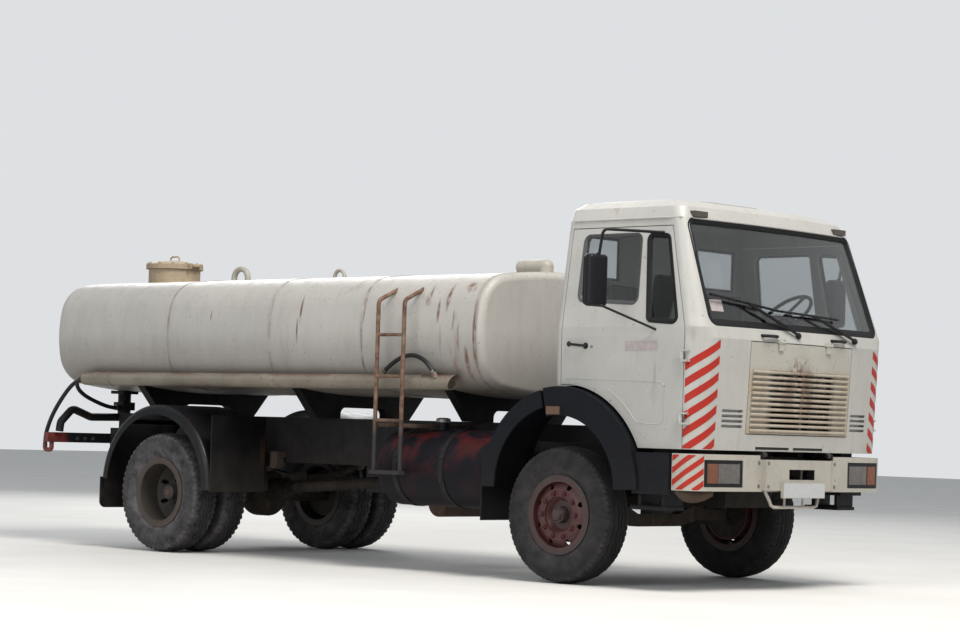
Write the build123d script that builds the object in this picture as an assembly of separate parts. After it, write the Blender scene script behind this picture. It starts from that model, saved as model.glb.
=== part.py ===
from build123d import *
import os
from math import asin, atan2, cos, pi, radians, sin, sqrt, tan

os.makedirs("parts", exist_ok=True)

# Tanker truck, two axles, cab over the engine, built in millimetres.
# X points forward, Y to the left and Z up, from the ground under the middle of its length.

# Overall sizes and axle places
LENGTH = 7730
FRONT_OVERHANG = 1410
WHEELBASE = 4500
BODY_HALF_W = 1250
FRONT_X = LENGTH / 2
REAR_X = -LENGTH / 2
AXLE1_X = FRONT_X - FRONT_OVERHANG
AXLE2_X = AXLE1_X - WHEELBASE

# Running gaps
GAP = 6
FIT = 0.3

# Wheels and tyres
TYRE_R = 512
TYRE_HALF_W = 139
TREAD_HALF_W = 112
SHOULDER_DROP = 16
BEAD_R = 254
BEAD_HALF_W = 100
FLANGE_R = 298
RIM_T = 8
DISC_T = 14
FRONT_TYRE_Y = 1039
REAR_OUTER_Y = 1107
DUAL_SPACING = 340
REAR_INNER_Y = REAR_OUTER_Y - DUAL_SPACING
HUB_R = 92
SPINDLE_R = 42
DRUM_R = 205
DISC_FLAT_R = 190
BORE_R = 138
HAND_HOLES = 8
HAND_HOLE_R = 20
HAND_HOLE_RING = 216

# Frame
RAIL_Y = 430
RAIL_BOTTOM = 800
RAIL_H = 250
RAIL_FLANGE = 75
RAIL_T = 9
RAIL_TOP = RAIL_BOTTOM + RAIL_H
RAIL_FRONT = AXLE1_X + 1240
RAIL_REAR = REAR_X + 160
SUBFRAME_H = 140
SUBFRAME_W = 70
SUBFRAME_TOP = RAIL_TOP + SUBFRAME_H

# Tank
TANK_FRONT = AXLE1_X - 930
TANK_REAR = REAR_X
TANK_HALF_W = 1050
TANK_HALF_H = 510
TANK_MID_Z = 1896
TANK_BOTTOM = TANK_MID_Z - TANK_HALF_H
TANK_TOP = TANK_MID_Z + TANK_HALF_H
TANK_CORNER_R = 300
TANK_SIDE_R = 1000
TANK_CROWN_R = 5500
HEAD_DISH = 40
HEAD_KNUCKLE_F = 60
HEAD_KNUCKLE_R = 150

# Cab
CAB_REAR = AXLE1_X - 65
CAB_BOTTOM = 1030
CAB_WALL = 55
CAB_HALF_W = 1172
FLOOR_T = 50
ARCH_X = AXLE1_X + 40
ARCH_Z = 700
ARCH_R = 768
ARCH_CLEAR = 20
CAB_LOW_REAR_Z = ARCH_Z + ARCH_R + GAP
TUNNEL_HALF_W = 500
TUNNEL_Z = 1400
DOOR_REAR = AXLE1_X + 2
DOOR_TOP = 2655
BELT_Z = 1900

# Cab tilt axis, just under the cab's lower front edge
TILT_X = AXLE1_X + 1330
TILT_Z = 1004
TILT_PIN_R = 10
TILT_LUG_R = 17

# Door hinge axis
DOOR_HINGE_X = AXLE1_X + 1163
DOOR_HINGE_Y = 1192
HINGE_PIN_R = 9
HINGE_BARREL_R = 16
HINGE_EAR = 16

# Front flap
FLAP_HALF_W = 640
FLAP_BOTTOM = 1150
FLAP_TOP = 1830
FLAP_T = 40
FLAP_HINGE_X = AXLE1_X + 1392
FLAP_HINGE_Y = 300
FLAP_HINGE_Z = FLAP_TOP + 2
FLAP_PIN_R = 5
FLAP_BARREL_R = 10
FLAP_BARREL_HALF = 30

# Bumper
BUMPER_BOTTOM = 735
BUMPER_TOP = 1000
BUMPER_FACE = AXLE1_X + 1345
BUMPER_HALF_W = 1190
BUMPER_T = 30
BUMPER_CENTRE_HALF = 440
BUMPER_CENTRE_OUT = 40
BUMPER_CORNER_R = 150
BUMPER_RETURN_X = AXLE1_X + 1098
LAMP_IN_Y = 658
LAMP_OUT_Y = 1088
LAMP_LOW_Z = 764
LAMP_HIGH_Z = 960

# Steering
KINGPIN_Y = 840
KINGPIN_R = 22

# Fenders
FENDER_X = AXLE2_X - 50
FENDER_Z = 550
FENDER_R = 715
FENDER_LIP = 85
FENDER_ROUND = 45
FENDER_T = 8
FENDER_IN_Y = 560
FENDER_SWEEP = 175
FENDER_STAY_X = 430

# Manhole
MANHOLE_X = AXLE1_X - 5830
MANHOLE_R = 265
MANHOLE_LID_Z = 2560


def ahead(distance):
    """X of a place this far ahead of the front axle; a negative distance is behind it."""
    return AXLE1_X + distance


def block(x0, x1, y0, y1, z0, z1):
    """Box between its limits."""
    box = Box(abs(x1 - x0), abs(y1 - y0), abs(z1 - z0))
    return Pos((x0 + x1) / 2, (y0 + y1) / 2, (z0 + z1) / 2) * box


def side_plate(points, y0, y1):
    """Outline in X and Z, as thick as from y0 to y1."""
    face = make_face(Plane.XZ.offset(-y0) * Polyline(*points, close=True))
    return extrude(face, amount=y1 - y0, dir=(0, 1, 0))


def cross_plate(points, x0, x1):
    """Outline in Y and Z, as thick as from x0 to x1."""
    face = make_face(Plane.YZ.offset(x0) * Polyline(*points, close=True))
    return extrude(face, amount=x1 - x0, dir=(1, 0, 0))


def rod(start, end, radius):
    """Round bar between two points."""
    a = Vector(*start)
    b = Vector(*end)
    plane = Plane(origin=a, z_dir=b - a)
    return extrude(plane * Circle(radius), amount=(b - a).length)


def pipe(start, end, radius, wall):
    """Round tube between two points."""
    a = Vector(*start)
    b = Vector(*end)
    plane = Plane(origin=a, z_dir=b - a)
    ring = plane * (Circle(radius) - Circle(radius - wall))
    return extrude(ring, amount=(b - a).length)


def bent_bar(points, radii, radius):
    """Round bar along straight runs joined by arcs."""
    path = FilletPolyline(*points, radius=radii)
    start = Plane(origin=path @ 0, z_dir=path % 0)
    return sweep(start * Circle(radius), path=path)


def mirrored(part):
    """The same piece on the other side of the truck."""
    return mirror(part, about=Plane.XZ)


def both(part):
    """The piece and its mirror image."""
    return [part, mirrored(part)]


def fuse(pieces):
    """One part from pieces that touch or overlap."""
    whole = pieces[0]
    for piece in pieces[1:]:
        whole = whole + piece
    return whole


def turned(profile, y):
    """Profile of radius against width, turned about a wheel's axis at y."""
    face = make_face(Plane.YZ * profile)
    return Pos(0, y, 0) * revolve(face, axis=Axis.Y)


NODES = {}


def save(name, *pieces):
    """Keep the solids of one sub-part under its name."""
    solids = []
    for piece in pieces:
        solids.extend(piece.solids())
    for solid in solids:
        solid.label = name
    NODES[name] = solids[0] if len(solids) == 1 else Compound(children=solids)


# Wheels, each drawn about its own centre with +Y outward, then set in place
def tyre():
    """Tyre section with a bulged wall and a slightly crowned tread."""
    tread_r = TYRE_R - SHOULDER_DROP
    flank_r = (FLANGE_R + tread_r) / 2 - 10
    half = [
        Line((-BEAD_HALF_W, BEAD_R), (BEAD_HALF_W, BEAD_R)),
        Line((BEAD_HALF_W, BEAD_R), (BEAD_HALF_W, FLANGE_R + 2)),
        ThreePointArc((BEAD_HALF_W, FLANGE_R + 2), (TYRE_HALF_W, flank_r), (TREAD_HALF_W, tread_r)),
        ThreePointArc((TREAD_HALF_W, tread_r), (0, TYRE_R), (-TREAD_HALF_W, tread_r)),
        ThreePointArc((-TREAD_HALF_W, tread_r), (-TYRE_HALF_W, flank_r), (-BEAD_HALF_W, FLANGE_R + 2)),
        Line((-BEAD_HALF_W, FLANGE_R + 2), (-BEAD_HALF_W, BEAD_R)),
    ]
    return turned(Curve() + half, 0)


def rim_band():
    """Rim barrel with a flange at each side of the tyre's beads."""
    inner = BEAD_R - RIM_T
    lip = BEAD_HALF_W + 12
    section = Polyline(
        (-lip, inner), (lip, inner), (lip, FLANGE_R), (BEAD_HALF_W, FLANGE_R), (BEAD_HALF_W, BEAD_R),
        (-BEAD_HALF_W, BEAD_R), (-BEAD_HALF_W, FLANGE_R), (-lip, FLANGE_R), close=True)
    return turned(section, 0)


def wheel_disc(y_rim, y_hub, bore_r):
    """Dished disc from the rim barrel to the hub's bolt face, with hand holes."""
    rim_r = BEAD_R - RIM_T
    disc = turned(Polyline(
        (y_rim, rim_r), (y_rim + DISC_T, rim_r), (y_hub + DISC_T, DISC_FLAT_R), (y_hub + DISC_T, bore_r),
        (y_hub, bore_r), (y_hub, DISC_FLAT_R), close=True), 0)
    for index in range(HAND_HOLES):
        angle = 360 * (index + 0.5) / HAND_HOLES
        hole = Rot(0, angle, 0) * Pos(0, 0, HAND_HOLE_RING) * Rot(90, 0, 0) * Cylinder(HAND_HOLE_R, 600)
        disc = disc - hole
    return disc


def hub(y_in, y_face, y_out, bore_depth):
    """Hub with a stepped nose, bored for the spindle from its inner side."""
    body = turned(Polyline(
        (y_in, 0), (y_in, HUB_R), (y_face, HUB_R), (y_face, HUB_R - 20), (y_out - 15, HUB_R - 30),
        (y_out, HUB_R - 45), (y_out, 0), close=True), 0)
    bore = turned(Polyline((y_in, 0), (y_in, SPINDLE_R + FIT), (y_in + bore_depth, SPINDLE_R + FIT),
                           (y_in + bore_depth, 0), close=True), 0)
    return body - bore


def drum(y_open, y_closed):
    """Brake drum, open at y_open and closed round the hub at y_closed."""
    return turned(Polyline(
        (y_open, DRUM_R), (y_closed, DRUM_R), (y_closed, HUB_R - 10), (y_closed - 12, HUB_R - 10),
        (y_closed - 12, DRUM_R - 14), (y_open, DRUM_R - 14), close=True), 0)


FRONT_HUB_IN = -70
FRONT_HUB_OUT = 126
FRONT_DISC_Y = 92
FRONT_HUB_WELL = 58
SPINDLE_REACH = 110
REAR_DISC_Y = (REAR_OUTER_Y + REAR_INNER_Y) / 2
REAR_HUB_IN = REAR_DISC_Y - 130
REAR_HUB_OUT = REAR_DISC_Y + 190


def front_hub():
    """Front hub: a bolt flange behind the disc, a well round the nose, bored for the spindle."""
    well = FRONT_HUB_WELL
    nose = HUB_R - 28
    body = turned(Polyline(
        (FRONT_HUB_IN, 0), (FRONT_HUB_IN, HUB_R), (well - 12, HUB_R), (FRONT_DISC_Y - 16, DISC_FLAT_R - 6),
        (FRONT_DISC_Y, DISC_FLAT_R - 6), (FRONT_DISC_Y, BORE_R - 8), (well, HUB_R + 14), (well, nose),
        (FRONT_HUB_OUT - 14, nose - 6), (FRONT_HUB_OUT - 14, nose - 20), (FRONT_HUB_OUT, nose - 26),
        (FRONT_HUB_OUT, 0), close=True), 0)
    bore_end = FRONT_HUB_IN + SPINDLE_REACH + 10
    bore = turned(Polyline((FRONT_HUB_IN, 0), (FRONT_HUB_IN, SPINDLE_R + FIT), (bore_end, SPINDLE_R + FIT),
                           (bore_end, 0), close=True), 0)
    return body - bore


def front_rim():
    """Front wheel: the disc stands out to the rim's outer edge, and the hub sits in a well in its middle."""
    pieces = [rim_band(), wheel_disc(FRONT_DISC_Y - 34, FRONT_DISC_Y, BORE_R), front_hub(),
              drum(-128, FRONT_HUB_IN + 40)]
    return fuse(pieces)


def rear_rims():
    """Twin rear wheels on one hub: deep dish outside, dish turned inward inside."""
    out_y = REAR_OUTER_Y - REAR_DISC_Y
    in_y = REAR_INNER_Y - REAR_DISC_Y
    outer = Pos(0, out_y, 0) * (rim_band() + wheel_disc(-90, -out_y, HUB_R - 20))
    inner = Pos(0, in_y, 0) * (rim_band() + wheel_disc(90 - DISC_T, -in_y - DISC_T, HUB_R - 20))
    body = hub(REAR_HUB_IN - REAR_DISC_Y, 20, REAR_HUB_OUT - REAR_DISC_Y, SPINDLE_REACH + 10)
    brake = drum(REAR_HUB_IN - REAR_DISC_Y - 60, -DISC_T - 30)
    return fuse([outer, inner, body, brake])


def make_wheels():
    left_tyre = Pos(AXLE1_X, FRONT_TYRE_Y, TYRE_R) * tyre()
    save("front_tyre_left", left_tyre)
    save("front_tyre_right", mirrored(left_tyre))
    left_rim = Pos(AXLE1_X, FRONT_TYRE_Y, TYRE_R) * front_rim()
    save("front_rim_left", left_rim)
    save("front_rim_right", mirrored(left_rim))
    twin = [Pos(AXLE2_X, y, TYRE_R) * tyre() for y in (REAR_OUTER_Y, REAR_INNER_Y)]
    save("rear_tyres_left", *twin)
    save("rear_tyres_right", *[mirrored(one) for one in twin])
    left_rims = Pos(AXLE2_X, REAR_DISC_Y, TYRE_R) * rear_rims()
    save("rear_rims_left", left_rims)
    save("rear_rims_right", mirrored(left_rims))


# Front axle with the knuckles that turn on its kingpins
EYE_R = 48
EYE_HALF_H = 55
SPRING_Y = 415
SPRING_HALF_W = 38
SPRING_HALF_L = 720
SPRING_SAG = 105
LEAF_T = 13
LEAVES = 6
SPRING_SEAT_Z = 560


def make_front_axle():
    low = 420
    beam_h = 95
    seat_y = SPRING_Y + 60
    top = [(-KINGPIN_Y, TYRE_R + 40), (-KINGPIN_Y + 90, TYRE_R + 30), (-seat_y, SPRING_SEAT_Z), (-SPRING_Y + 60, SPRING_SEAT_Z),
           (-250, low + beam_h), (250, low + beam_h), (SPRING_Y - 60, SPRING_SEAT_Z), (seat_y, SPRING_SEAT_Z),
           (KINGPIN_Y - 90, TYRE_R + 30), (KINGPIN_Y, TYRE_R + 40)]
    bottom = [(KINGPIN_Y, TYRE_R - 40), (KINGPIN_Y - 100, TYRE_R - 50), (seat_y, SPRING_SEAT_Z - 95), (260, low),
              (-260, low), (-seat_y, SPRING_SEAT_Z - 95), (-KINGPIN_Y + 100, TYRE_R - 50), (-KINGPIN_Y, TYRE_R - 40)]
    beam = cross_plate(top + bottom, AXLE1_X - 42, AXLE1_X + 42)
    for y in (-KINGPIN_Y, KINGPIN_Y):
        beam = beam + Pos(AXLE1_X, y, TYRE_R) * Cylinder(EYE_R, 2 * EYE_HALF_H)
    for y in (-KINGPIN_Y, KINGPIN_Y):
        beam = beam - Pos(AXLE1_X, y, TYRE_R) * Cylinder(KINGPIN_R + FIT, 4 * EYE_HALF_H)
    save("front_axle_beam", beam)


def make_knuckles():
    ear_z = EYE_HALF_H + FIT
    ear_t = 34
    pieces = [Pos(0, 0, 0) * Cylinder(KINGPIN_R, 2 * (ear_z + ear_t))]
    web_in = EYE_R + GAP
    drum_in = FRONT_TYRE_Y - 128 - KINGPIN_Y
    for side in (1, -1):
        ear = Pos(0, 0, side * (ear_z + ear_t / 2)) * Cylinder(EYE_R, ear_t)
        arm = block(-40, 40, 0, web_in + 16, side * ear_z, side * (ear_z + ear_t))
        pieces += [ear, arm]
    pieces.append(block(-60, 60, web_in, web_in + 16, -ear_z - ear_t, ear_z + ear_t))
    shield_y = drum_in + 4
    shield = Rot(-90, 0, 0) * Cylinder(DRUM_R - 14 - GAP, 8)
    pieces.append(Pos(0, shield_y, 0) * shield)
    spindle_end = FRONT_TYRE_Y + FRONT_HUB_IN + SPINDLE_REACH - KINGPIN_Y
    pieces.append(rod((0, web_in, 0), (0, spindle_end, 0), SPINDLE_R))
    pieces.append(rod((0, web_in, 0), (0, FRONT_TYRE_Y + FRONT_HUB_IN - KINGPIN_Y - 1, 0), SPINDLE_R + 22))
    pieces.append(block(-190, -20, -30, 10, -ear_z - ear_t, -ear_z))
    left = Pos(AXLE1_X, KINGPIN_Y, TYRE_R) * fuse(pieces)
    save("knuckle_left", left)
    save("knuckle_right", mirrored(left))


def leaf(x, z_mid, half_length, base_half, sag, index):
    """One leaf of a spring whose ends curve up; each lower leaf is shorter."""
    bend_r = (base_half ** 2 + sag ** 2) / (2 * sag)
    inner = bend_r + index * LEAF_T
    outer = inner + LEAF_T
    angle = asin(half_length / inner)
    centre_z = z_mid + bend_r

    def at(radius, turn):
        return (x + radius * sin(turn), centre_z - radius * cos(turn))

    edges = [ThreePointArc(at(inner, -angle), at(inner, 0), at(inner, angle)),
             Line(at(inner, angle), at(outer, angle)),
             ThreePointArc(at(outer, angle), at(outer, 0), at(outer, -angle)),
             Line(at(outer, -angle), at(inner, -angle))]
    return make_face(Plane.XZ * (Curve() + edges))


def leaf_spring(x, y, z_mid, half_length, sag, eye_z, hanger_top, axle_top):
    """Stack of leaves with eyes, hangers up to the rail and a clamp at the axle."""
    pieces = []
    for index in range(LEAVES):
        length = half_length * (1 - 0.145 * index)
        face = leaf(x, z_mid, length, half_length, sag, index)
        strip = extrude(face, amount=2 * SPRING_HALF_W, dir=(0, 1, 0))
        pieces.append(Pos(0, y - SPRING_HALF_W, 0) * strip)
    for side in (-1, 1):
        end_x = x + side * half_length
        eye = Pos(end_x, y, eye_z) * Rot(90, 0, 0) * Cylinder(30, 2 * SPRING_HALF_W)
        hanger = block(end_x - 45, end_x + 45, y - SPRING_HALF_W, y + SPRING_HALF_W, eye_z, hanger_top)
        pieces += [eye, hanger]
    pieces.append(block(x - 75, x + 75, y - SPRING_HALF_W - 14, y + SPRING_HALF_W + 14, axle_top, z_mid + 22))
    return fuse(pieces)


REAR_SPRING_HALF_L = 700
REAR_SPRING_Y = 500
AXLE_TUBE_R = 75


def make_springs():
    front_mid = SPRING_SEAT_Z + LEAVES * LEAF_T + 12
    front = leaf_spring(AXLE1_X, SPRING_Y, front_mid, SPRING_HALF_L, SPRING_SAG, front_mid + SPRING_SAG - 10,
                        RAIL_BOTTOM, SPRING_SEAT_Z)
    save("front_springs", *both(front))
    rear_mid = TYRE_R + AXLE_TUBE_R + LEAVES * LEAF_T + 12
    rear_eye = rear_mid + SPRING_SAG - 10
    rear = leaf_spring(AXLE2_X, REAR_SPRING_Y, rear_mid, REAR_SPRING_HALF_L, SPRING_SAG, rear_eye,
                       RAIL_BOTTOM + 90, TYRE_R + AXLE_TUBE_R)
    for side in (-1, 1):
        end_x = AXLE2_X + side * REAR_SPRING_HALF_L
        rear = rear + block(end_x - 45, end_x + 45, RAIL_Y, REAR_SPRING_Y + SPRING_HALF_W, RAIL_BOTTOM + 40,
                            RAIL_BOTTOM + 90)
    save("rear_springs", *both(rear))


PINION_X = AXLE2_X + 370
PINION_Z = TYRE_R + 60
GEARBOX_X = AXLE1_X - 1010
GEARBOX_Z = 800


def make_rear_axle():
    tube = rod((AXLE2_X, -REAR_HUB_IN + 1, TYRE_R), (AXLE2_X, REAR_HUB_IN - 1, TYRE_R), AXLE_TUBE_R)
    bowl = Pos(AXLE2_X, 0, TYRE_R) * Rot(0, 90, 0) * Cylinder(205, 250)
    bowl = fillet(bowl.edges().filter_by(GeomType.CIRCLE), 60)
    end = Vector(PINION_X, 0, PINION_Z)
    way = (Vector(GEARBOX_X, 0, GEARBOX_Z) - end).normalized()
    nose = rod((AXLE2_X + 60, 0, TYRE_R + 16), tuple(end - way * 60), 95) + rod(tuple(end - way * 90), tuple(end), 70)
    spindles = rod((AXLE2_X, -REAR_HUB_IN - SPINDLE_REACH, TYRE_R), (AXLE2_X, REAR_HUB_IN + SPINDLE_REACH, TYRE_R),
                   SPINDLE_R)
    shields = []
    shield_y = REAR_HUB_IN - 60 + 4
    for side in (-1, 1):
        shields.append(Pos(AXLE2_X, side * shield_y, TYRE_R) * Rot(90, 0, 0) * Cylinder(DRUM_R - 14 - GAP, 8))
    save("rear_axle", fuse([tube, bowl, nose, spindles] + shields))


def make_driveline():
    engine = block(ahead(-250), ahead(900), -290, 290, 600, 1290)
    lugs = [block(ahead(x), ahead(x + 90), side * 280, side * (RAIL_Y - RAIL_T), 880, 960)
            for x in (-180, 700) for side in (-1, 1)]
    save("engine_block", fuse([engine] + lugs))
    bell = Pos(ahead(-250), 0, GEARBOX_Z + 30) * Rot(0, -90, 0) * Cone(230, 170, 160, align=(Align.CENTER, Align.CENTER, Align.MIN))
    case = block(ahead(-900), ahead(-400), -150, 150, GEARBOX_Z - 150, GEARBOX_Z + 190)
    flange = rod((ahead(-900), 0, GEARBOX_Z), (GEARBOX_X, 0, GEARBOX_Z), 70)
    save("gearbox", fuse([bell, case, flange]))
    start = Vector(GEARBOX_X, 0, GEARBOX_Z)
    end = Vector(PINION_X, 0, PINION_Z)
    way = (end - start).normalized()
    ball_a = start + way * 75
    ball_b = end - way * 75
    shaft = [rod(tuple(ball_a), tuple(ball_b), 50), rod(tuple(ball_b), tuple(end), 45),
             rod((GEARBOX_X, 0, GEARBOX_Z), (GEARBOX_X - 75, 0, GEARBOX_Z), 45),
             Pos(*ball_a) * Sphere(62), Pos(*ball_b) * Sphere(62)]
    save("propshaft", fuse(shaft))
    save("radiator", block(ahead(1110), ahead(1190), -330, 330, 1075, 1370) +
         fuse([block(ahead(1130), ahead(1170), side * 240, side * 300, RAIL_TOP - 60, 1080) for side in (-1, 1)]))


# Ladder frame of two channel rails and the members between them
CROSS_X = (1130, -1150, -2250, -3300, -3980, -5050)


def rail(side):
    y_web = side * RAIL_Y
    y_in = side * (RAIL_Y - RAIL_T)
    y_tip = side * (RAIL_Y - RAIL_FLANGE)
    points = [(y_web, RAIL_BOTTOM), (y_tip, RAIL_BOTTOM), (y_tip, RAIL_BOTTOM + RAIL_T), (y_in, RAIL_BOTTOM + RAIL_T),
              (y_in, RAIL_TOP - RAIL_T), (y_tip, RAIL_TOP - RAIL_T), (y_tip, RAIL_TOP), (y_web, RAIL_TOP)]
    return cross_plate(points, RAIL_REAR, RAIL_FRONT)


END_PLATE_T = 16
HITCH_Y = 80
HITCH_Z = 25
HITCH_HOLE_R = 10.5
HITCH_MID_Z = 950


def hitch_holes():
    """Four bolt holes through the rear beam and the frame's end plate."""
    return fuse([rod((REAR_X, y, HITCH_MID_Z + z), (RAIL_REAR + 60, y, HITCH_MID_Z + z), HITCH_HOLE_R)
                 for y in (-HITCH_Y, HITCH_Y) for z in (-HITCH_Z, HITCH_Z)])


def make_frame():
    pieces = [rail(-1), rail(1)]
    inside = RAIL_Y - RAIL_T
    for x in CROSS_X:
        pieces.append(block(ahead(x) - 35, ahead(x) + 35, -inside, inside, RAIL_BOTTOM + 60, RAIL_TOP - 60))
    end = block(RAIL_REAR, RAIL_REAR + END_PLATE_T, -inside, inside, RAIL_BOTTOM + RAIL_T, RAIL_TOP - RAIL_T)
    pieces.append(end - hitch_holes())
    save("ladder_frame", fuse(pieces))


# Tank, its cradle and what stands on it
def oval_curve(inset):
    """Tank's section: crowned sides, top and bottom joined by corner arcs that meet them smoothly."""
    side_y = TANK_HALF_W - TANK_SIDE_R
    crown_z = TANK_HALF_H - TANK_CROWN_R
    side_reach = TANK_SIDE_R - TANK_CORNER_R
    crown_reach = TANK_CROWN_R - TANK_CORNER_R
    span = sqrt(side_y ** 2 + crown_z ** 2)
    along = (side_reach ** 2 - crown_reach ** 2 + span ** 2) / (2 * span)
    across = sqrt(side_reach ** 2 - along ** 2)
    way_y = -side_y / span
    way_z = crown_z / span
    corner_y = side_y + along * way_y - across * way_z
    corner_z = along * way_z + across * way_y
    low = atan2(corner_z, corner_y - side_y)
    high = atan2(corner_z - crown_z, corner_y)

    def at(centre_y, centre_z, radius, angle):
        reach = radius - inset
        return (centre_y + reach * cos(angle), centre_z + reach * sin(angle))

    side_mid = at(side_y, 0, TANK_SIDE_R, 0)
    side_end = at(side_y, 0, TANK_SIDE_R, low)
    corner_mid = at(corner_y, corner_z, TANK_CORNER_R, (low + high) / 2)
    crown_end = at(0, crown_z, TANK_CROWN_R, high)
    crown_mid = at(0, crown_z, TANK_CROWN_R, pi / 2)

    def turn(point, sy, sz):
        return (sy * point[0], sz * point[1])

    edges = [ThreePointArc(turn(side_end, 1, -1), side_mid, side_end),
             ThreePointArc(side_end, corner_mid, crown_end),
             ThreePointArc(crown_end, crown_mid, turn(crown_end, -1, 1)),
             ThreePointArc(turn(crown_end, -1, 1), turn(corner_mid, -1, 1), turn(side_end, -1, 1)),
             ThreePointArc(turn(side_end, -1, 1), turn(side_mid, -1, 1), turn(side_end, -1, -1)),
             ThreePointArc(turn(side_end, -1, -1), turn(corner_mid, -1, -1), turn(crown_end, -1, -1)),
             ThreePointArc(turn(crown_end, -1, -1), turn(crown_mid, 1, -1), turn(crown_end, 1, -1)),
             ThreePointArc(turn(crown_end, 1, -1), turn(corner_mid, 1, -1), turn(side_end, 1, -1))]
    return Curve() + edges


def tank_face(x, inset):
    return make_face(Plane.YZ.offset(x) * (Pos(0, TANK_MID_Z, 0) * oval_curve(inset)))


def make_tank():
    rear_edge = TANK_REAR + HEAD_DISH
    body = extrude(tank_face(rear_edge, 0), amount=TANK_FRONT - rear_edge, dir=(1, 0, 0))
    ends = body.faces().sort_by(Axis.X)
    front_ring = ends[-1].edges()
    rear_ring = ends[0].edges()
    body = fillet(front_ring, HEAD_KNUCKLE_F)
    rear_ring = body.faces().sort_by(Axis.X)[0].edges()
    body = fillet(rear_ring, HEAD_KNUCKLE_R)
    dish = loft([tank_face(rear_edge, HEAD_KNUCKLE_R), tank_face(TANK_REAR, TANK_CORNER_R - 10)], ruled=True)
    save("tank_shell", body + dish)


def make_cradle():
    half_low = 560
    half_high = 800
    foot = SUBFRAME_TOP
    pieces = []
    for side in (-1, 1):
        y_out = side * RAIL_Y
        y_in = side * (RAIL_Y - SUBFRAME_W)
        pieces.append(block(ahead(-6040), ahead(-900), y_in, y_out, RAIL_TOP, SUBFRAME_TOP))
    high = TANK_BOTTOM + 80
    for x in (-1520, -3300, -5330):
        plate = cross_plate([(-half_low, foot), (half_low, foot), (half_high, high), (-half_high, high)], ahead(x) - 45, ahead(x) + 45)
        arch = block(ahead(x) - 50, ahead(x) + 50, -280, 280, foot - 5, foot + 95)
        pieces.append(plate - fillet(arch.edges().filter_by(Axis.X).sort_by(Axis.Z)[-2:], 60))
    cradle = fuse(pieces)
    tank_body = extrude(tank_face(ahead(-5600), 0), amount=4900, dir=(1, 0, 0))
    save("tank_cradle", cradle - tank_body)


def make_manhole():
    neck_base = TANK_TOP - 40
    neck = Pos(MANHOLE_X, 0, 0) * extrude(Plane.XY.offset(neck_base) * (Circle(MANHOLE_R - 25) - Circle(MANHOLE_R - 33)),
                                          amount=MANHOLE_LID_Z - 20 - neck_base)
    rim = Pos(MANHOLE_X, 0, 0) * extrude(Plane.XY.offset(MANHOLE_LID_Z - 20) * (Circle(MANHOLE_R) - Circle(MANHOLE_R - 33)),
                                         amount=20)
    tank_body = extrude(tank_face(ahead(-6100), 0), amount=600, dir=(1, 0, 0))
    neck = (neck + rim) - tank_body
    hinge_x = MANHOLE_X + MANHOLE_R + 22
    hinge_z = MANHOLE_LID_Z + 14
    pin = rod((hinge_x, -70, hinge_z), (hinge_x, 70, hinge_z), HINGE_PIN_R)
    ears = [block(MANHOLE_X + MANHOLE_R - 12, hinge_x + 14, side * 52, side * 66, MANHOLE_LID_Z - 20, MANHOLE_LID_Z)
            + block(MANHOLE_X + MANHOLE_R + 5, hinge_x + 14, side * 52, side * 66, MANHOLE_LID_Z - 1, hinge_z + 14)
            for side in (-1, 1)]
    save("manhole_neck", fuse([neck, pin] + ears))
    lid = Pos(MANHOLE_X, 0, MANHOLE_LID_Z + FIT) * extrude(Circle(MANHOLE_R), amount=22)
    dome_r = 700
    rise = 44
    dome = Pos(MANHOLE_X, 0, MANHOLE_LID_Z + 22 + rise - dome_r) * Sphere(dome_r)
    cap = dome & block(MANHOLE_X - 240, MANHOLE_X + 240, -240, 240, MANHOLE_LID_Z + 20, MANHOLE_LID_Z + 100)
    barrel = rod((hinge_x, -45, hinge_z), (hinge_x, 45, hinge_z), HINGE_PIN_R + 9)
    leaf_arm = block(MANHOLE_X + MANHOLE_R - 60, hinge_x, -40, 40, MANHOLE_LID_Z + 10, MANHOLE_LID_Z + 22)
    bore = rod((hinge_x, -90, hinge_z), (hinge_x, 90, hinge_z), HINGE_PIN_R + FIT)
    save("manhole_lid", fuse([lid, cap, barrel, leaf_arm]) - bore)


def make_tank_fittings():
    pieces = []
    for x, ring_r, bar_r in ((-4900, 92, 27), (-3610, 62, 17)):
        ring = Pos(ahead(x), 0, TANK_TOP + ring_r * 0.35) * Rot(90, 0, 0) * Torus(ring_r, bar_r)
        pieces.append(ring)
    elbow = rod((ahead(-1480), 0, TANK_TOP + 62), (ahead(-1200), 0, TANK_TOP + 62), 60)
    foot = rod((ahead(-1200), 0, TANK_TOP - 30), (ahead(-1200), 0, TANK_TOP + 62), 60)
    pieces.append(elbow + foot + Pos(ahead(-1200), 0, TANK_TOP + 62) * Sphere(60))
    tank_body = extrude(tank_face(ahead(-5600), 0), amount=4900, dir=(1, 0, 0))
    save("tank_fittings", *[piece - tank_body for piece in pieces])


HOSE_TUBE_R = 60
HOSE_TUBE_Y = 1035
HOSE_TUBE_Z = 1490
HOSE_TUBE_REAR = AXLE1_X - 5790
HOSE_TUBE_FRONT = AXLE1_X - 1185
HOSE_TUBE_BANDS = (-1540, -3245, -5420)
HOSE_SOCKET_REACH = 50


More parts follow.
